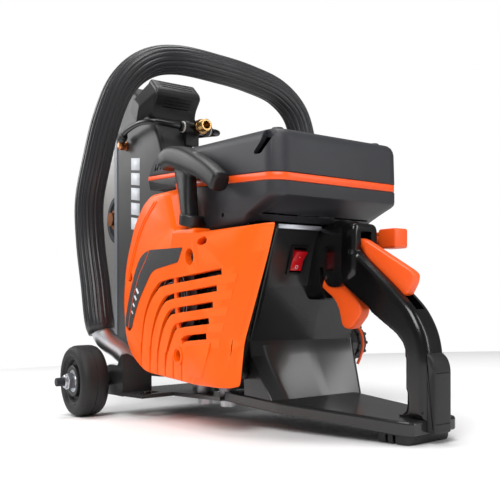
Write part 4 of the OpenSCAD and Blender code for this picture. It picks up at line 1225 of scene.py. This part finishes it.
def water_nipple():
    """The hollow inlet with its barbs."""
    x, y, z = TEE
    barbs = [(9.8 + 0.8 * k, 7.9 if k % 2 else 7.3) for k in range(9)]
    nipple = rod((x - 10, y, z), (x - 28, y, z), [(0, 9.2), (0.6, 9.8), (6.6, 9.8), (7.4, 8.8),
        (8, 7.0), (9, 7.9), *barbs, (17.4, 7.9), (18, 7.2)], 48)
    nipple = cut(nipple, pin((x - 30, y, z), (x - 14, y, z), 5.2, 32))
    piece("water_nipple", nipple, "brass", "guard", ["water_inlet"], edge=0.15)


def water_hoses():
    """Both hoses with the nuts and cuffs at their ends."""
    for side, points in HOSES.items():
        tube = sweep(spline(points, 8), lambda i: circle(HOSE_R, 20), (0, 0, 1))
        piece("hose_" + side, tube, "hose", "guard", ["water_hose_" + side])
    ends = []
    for face, out in ((0.1, 1), (-50.1, -1)):
        ends.append(rod((568, face, 310), (568, face + out, 310), [(0, 6.4), (2.4, 6.4), (2.6, 5.2),
            (4.6, 5.2), (4.8, 6.2), (10.5, 6.2), (11.6, 5.4), (12.8, 3.4)], 32))
    piece("spray_nuts", join(*ends), "copper", "guard", ["spray_elbows"], edge=0.15)
    cuffs = []
    for points in HOSES.values():
        a, b = Vector(points[-1]), Vector(points[-2])
        cuffs.append(rod(a + (a - b).normalized() * 3.5, b, [(0, 5.2), (1, 6.2), (8, 6.2), (8.6, 5.4),
            (12, 5.0), (12.6, 3.8)], 32))
    piece("hose_cuffs", join(*cuffs), "matte", "guard", edge=0.2)


# ---- wheels ----
def lathe_y(x, z, profile, steps=96):
    """A solid turned about an axis along Y; profile is a closed run of (y, r)."""
    loops = []
    for a in turns(steps):
        loops.append([(x + r * math.cos(a), y, z + r * math.sin(a)) for y, r in profile])
    bm = bmesh.new()
    rows = [[bm.verts.new(p) for p in loop] for loop in loops]
    n = len(profile)
    for i in range(steps):
        a, b = rows[i], rows[(i + 1) % steps]
        for k in range(n):
            m = (k + 1) % n
            bm.faces.new((a[k], a[m], b[m], b[k]))
    bmesh.ops.recalc_face_normals(bm, faces=bm.faces)
    return bm


WHEEL_FACE = 133


def wheel(side, s):
    """One wheel; its profiles are (depth from its outer face, radius) pairs, and s is 1 on the left."""
    tread = [(0.6, 28.6), (0.0, 31.5), (0.5, 34.4), (1.4, 36.6), (3.4, 38.4), (6.4, 39.6), (10, 40.0),
        (15.3, 40.0), (15.6, 39.5), (16.4, 39.5), (16.7, 40.0), (22, 40.0), (25.6, 39.6), (28.6, 38.4),
        (30.6, 36.6), (31.5, 34.4), (32, 31.5), (31.4, 28.6), (29, 27.4), (28, 26.0), (4, 26.0),
        (3, 27.4)]
    hub = [(3.2, 26.0), (3.0, 24.6), (5.2, 23.4), (7.6, 22.8), (8.0, 21.6), (8.0, 19.0), (7.0, 17.8),
        (2.2, 17.4), (1.5, 16.6), (1.5, 13.6), (2.0, 13.0), (30, 13.0), (30, 17.5), (28, 17.6),
        (24, 22), (28, 25), (28, 26.0)]
    race = [(3.2, 13.0), (2.4, 12.4), (2.4, 11.2), (3.4, 10.9), (4.0, 10.5), (4.0, 8.2), (3.2, 7.8),
        (2.4, 7.5), (2.4, 5.05), (29.5, 5.05), (29.5, 13.0)]
    body = "wheel_" + side
    parts = [
        ("_tyre_body", "_tyre", tread, "rubber", "tyre", 50),
        ("_hub_body", "_hub", hub, "matte", "black_matte", 35),
        ("_race", "_bearing", race, "steel", "steel", 30),
    ]
    for end, node, points, look, slot, sharp in parts:
        shape = lathe_y(*AXLE, [(s * (WHEEL_FACE - depth), r) for depth, r in points])
        piece(body + end, shape, look, body, [body + node], sharp=sharp)


def axle_ends():
    x, z = AXLE
    nuts, bolts = [], []
    for s in (1, -1):
        face = s * WHEEL_FACE
        nut = rod((x, face - s * 2, z), (x, face + s, z), [(0, 9.4), (0.7, 9.8), (6.3, 9.8), (7, 9.2)],
            6)
        collar = rod((x, face + s * 5, z), (x, face + s * 6, z), [(0, 7.6), (2, 7.4), (3, 6.2)], 36)
        washer = rod((x, face - s * 2.3, z), (x, face + s, z), [(0, 8.8), (1.4, 8.8)], 36)
        way = pin((x, face - s * 20, z), (x, face + s * 20, z), 5.0, 32)
        nuts.append(cut(fuse(nut, collar, washer), way))
        thread = [(0, 4.9)]
        for k in range(10):
            thread += [(1.0 + k, 4.98), (1.5 + k, 4.55)]
        thread += [(11.2, 4.9), (12, 4.2)]
        bolts.append(rod((x, face + s * 5, z), (x, face + s * 6, z), thread, 32))
        bolts.append(pin((x, s * 80, z), (x, face + s * 5, z), 5.0, 32))
        bolts.append(rod((x, s * 76, z), (x, s * 83.9, z), [(0, 9.2), (0.6, 9.8), (7.9, 9.8)], 6))
        bolts.append(rod((x, s * 88.1, z), (x, s * 100, z), [(0, 8), (14, 8)], 36))
    piece("axle_lock_nuts", join(*nuts), "steel", "frame", ["axle_nuts"], edge=0.25)
    piece("axle_studs", join(*bolts), "dark_steel", "frame", ["axle_bolts"],
        edge=0.2)


# ---- stage ----
CAMERA_PLACE = Vector((-325, 414, 108.3))
CAMERA_TURN = math.radians(35)
LENS = 49.68
SENSOR = 36.0


def camera():
    """The studio view: low, behind and to the left of the saw."""
    forward = Vector((math.cos(CAMERA_TURN), -math.sin(CAMERA_TURN), 0))
    up = Vector((0, 0, 1))
    right = forward.cross(up)
    turn = TO_ROW.to_3x3().normalized()
    axes = Matrix((turn @ right, turn @ up, turn @ -forward)).transposed()
    data = bpy.data.cameras.new("camera")
    data.lens = LENS
    data.sensor_width = SENSOR
    data.shift_y = 0.08
    data.clip_end = 50.0
    cam = bpy.data.objects.new("camera", data)
    cam.matrix_world = Matrix.Translation(TO_ROW @ CAMERA_PLACE) @ axes.to_4x4()
    bpy.context.scene.collection.objects.link(cam)
    bpy.context.scene.camera = cam


WORLD_FILL = 0.2
FLOOR_RADIUS = 1.35
FLOOR_GAP = 0.0005
WHITE = (1.0, 1.0, 1.0, 1.0)


def softbox(name, place, aim, size, power):
    """A rectangular lamp at place, turned towards aim."""
    data = bpy.data.lights.new(name, "AREA")
    data.shape = "RECTANGLE"
    data.size, data.size_y = size
    data.energy = power
    lamp = bpy.data.objects.new(name, data)
    lamp.location = place
    lamp.rotation_euler = (Vector(aim) - Vector(place)).to_track_quat("-Z", "Y").to_euler()
    bpy.context.scene.collection.objects.link(lamp)


def studio():
    """Four lamps, a dim fill and a white backdrop that only the camera sees."""
    scene = bpy.context.scene
    scene.view_settings.view_transform = "Standard"
    world = bpy.data.worlds.new("studio")
    scene.world = world
    world.use_nodes = True
    tree = world.node_tree
    fill = tree.nodes["Background"]
    fill.inputs["Color"].default_value = WHITE
    fill.inputs["Strength"].default_value = WORLD_FILL
    sheet = tree.nodes.new("ShaderNodeBackground")
    sheet.inputs["Color"].default_value = WHITE
    sheet.inputs["Strength"].default_value = 1.0
    rays = tree.nodes.new("ShaderNodeLightPath")
    mix = tree.nodes.new("ShaderNodeMixShader")
    tree.links.new(rays.outputs["Is Camera Ray"], mix.inputs["Fac"])
    tree.links.new(fill.outputs["Background"], mix.inputs[1])
    tree.links.new(sheet.outputs["Background"], mix.inputs[2])
    tree.links.new(mix.outputs["Shader"], tree.nodes["World Output"].inputs["Surface"])
    middle = (0.0, 0.0, 0.2)
    softbox("key", (-1.5, 1.5, 1.9), middle, (1.2, 1.2), 46)
    softbox("top", (0.1, 0.0, 2.2), middle, (1.6, 1.0), 28)
    softbox("strip", (-1.7, -0.9, 0.9), (-0.25, 0.0, 0.15), (0.25, 1.4), 9)
    softbox("front", (1.5, 1.0, 1.2), middle, (1.0, 1.0), 16)


def pale_floor():
    """A round pale sheet just under the wheels and the foot."""
    shader = surface("floor", (252, 252, 252), 0.8, mottle=0.004, grain=60, grain_depth=0.0)
    bm = bmesh.new()
    bm.faces.new([bm.verts.new((x, y, -FLOOR_GAP)) for x, y in circle(FLOOR_RADIUS, 96)])
    floor = to_object(bm, "floor")
    floor.data.materials.append(shader)


camera()
studio()
pale_floor()
dress_nodes()
starter_cover()
fan_housing()
starter_trim()
pull_handle()
filter_cover()
front_nose()
tank()
switch()
rear_handle()
foot()
trigger_and_pins()
lockout()
choke()
fuel_cap()
front_handle()
guard()
guard_lever()
water_tee()
water_nipple()
water_hoses()
wheel("left", 1)
wheel("right", -1)
axle_ends()
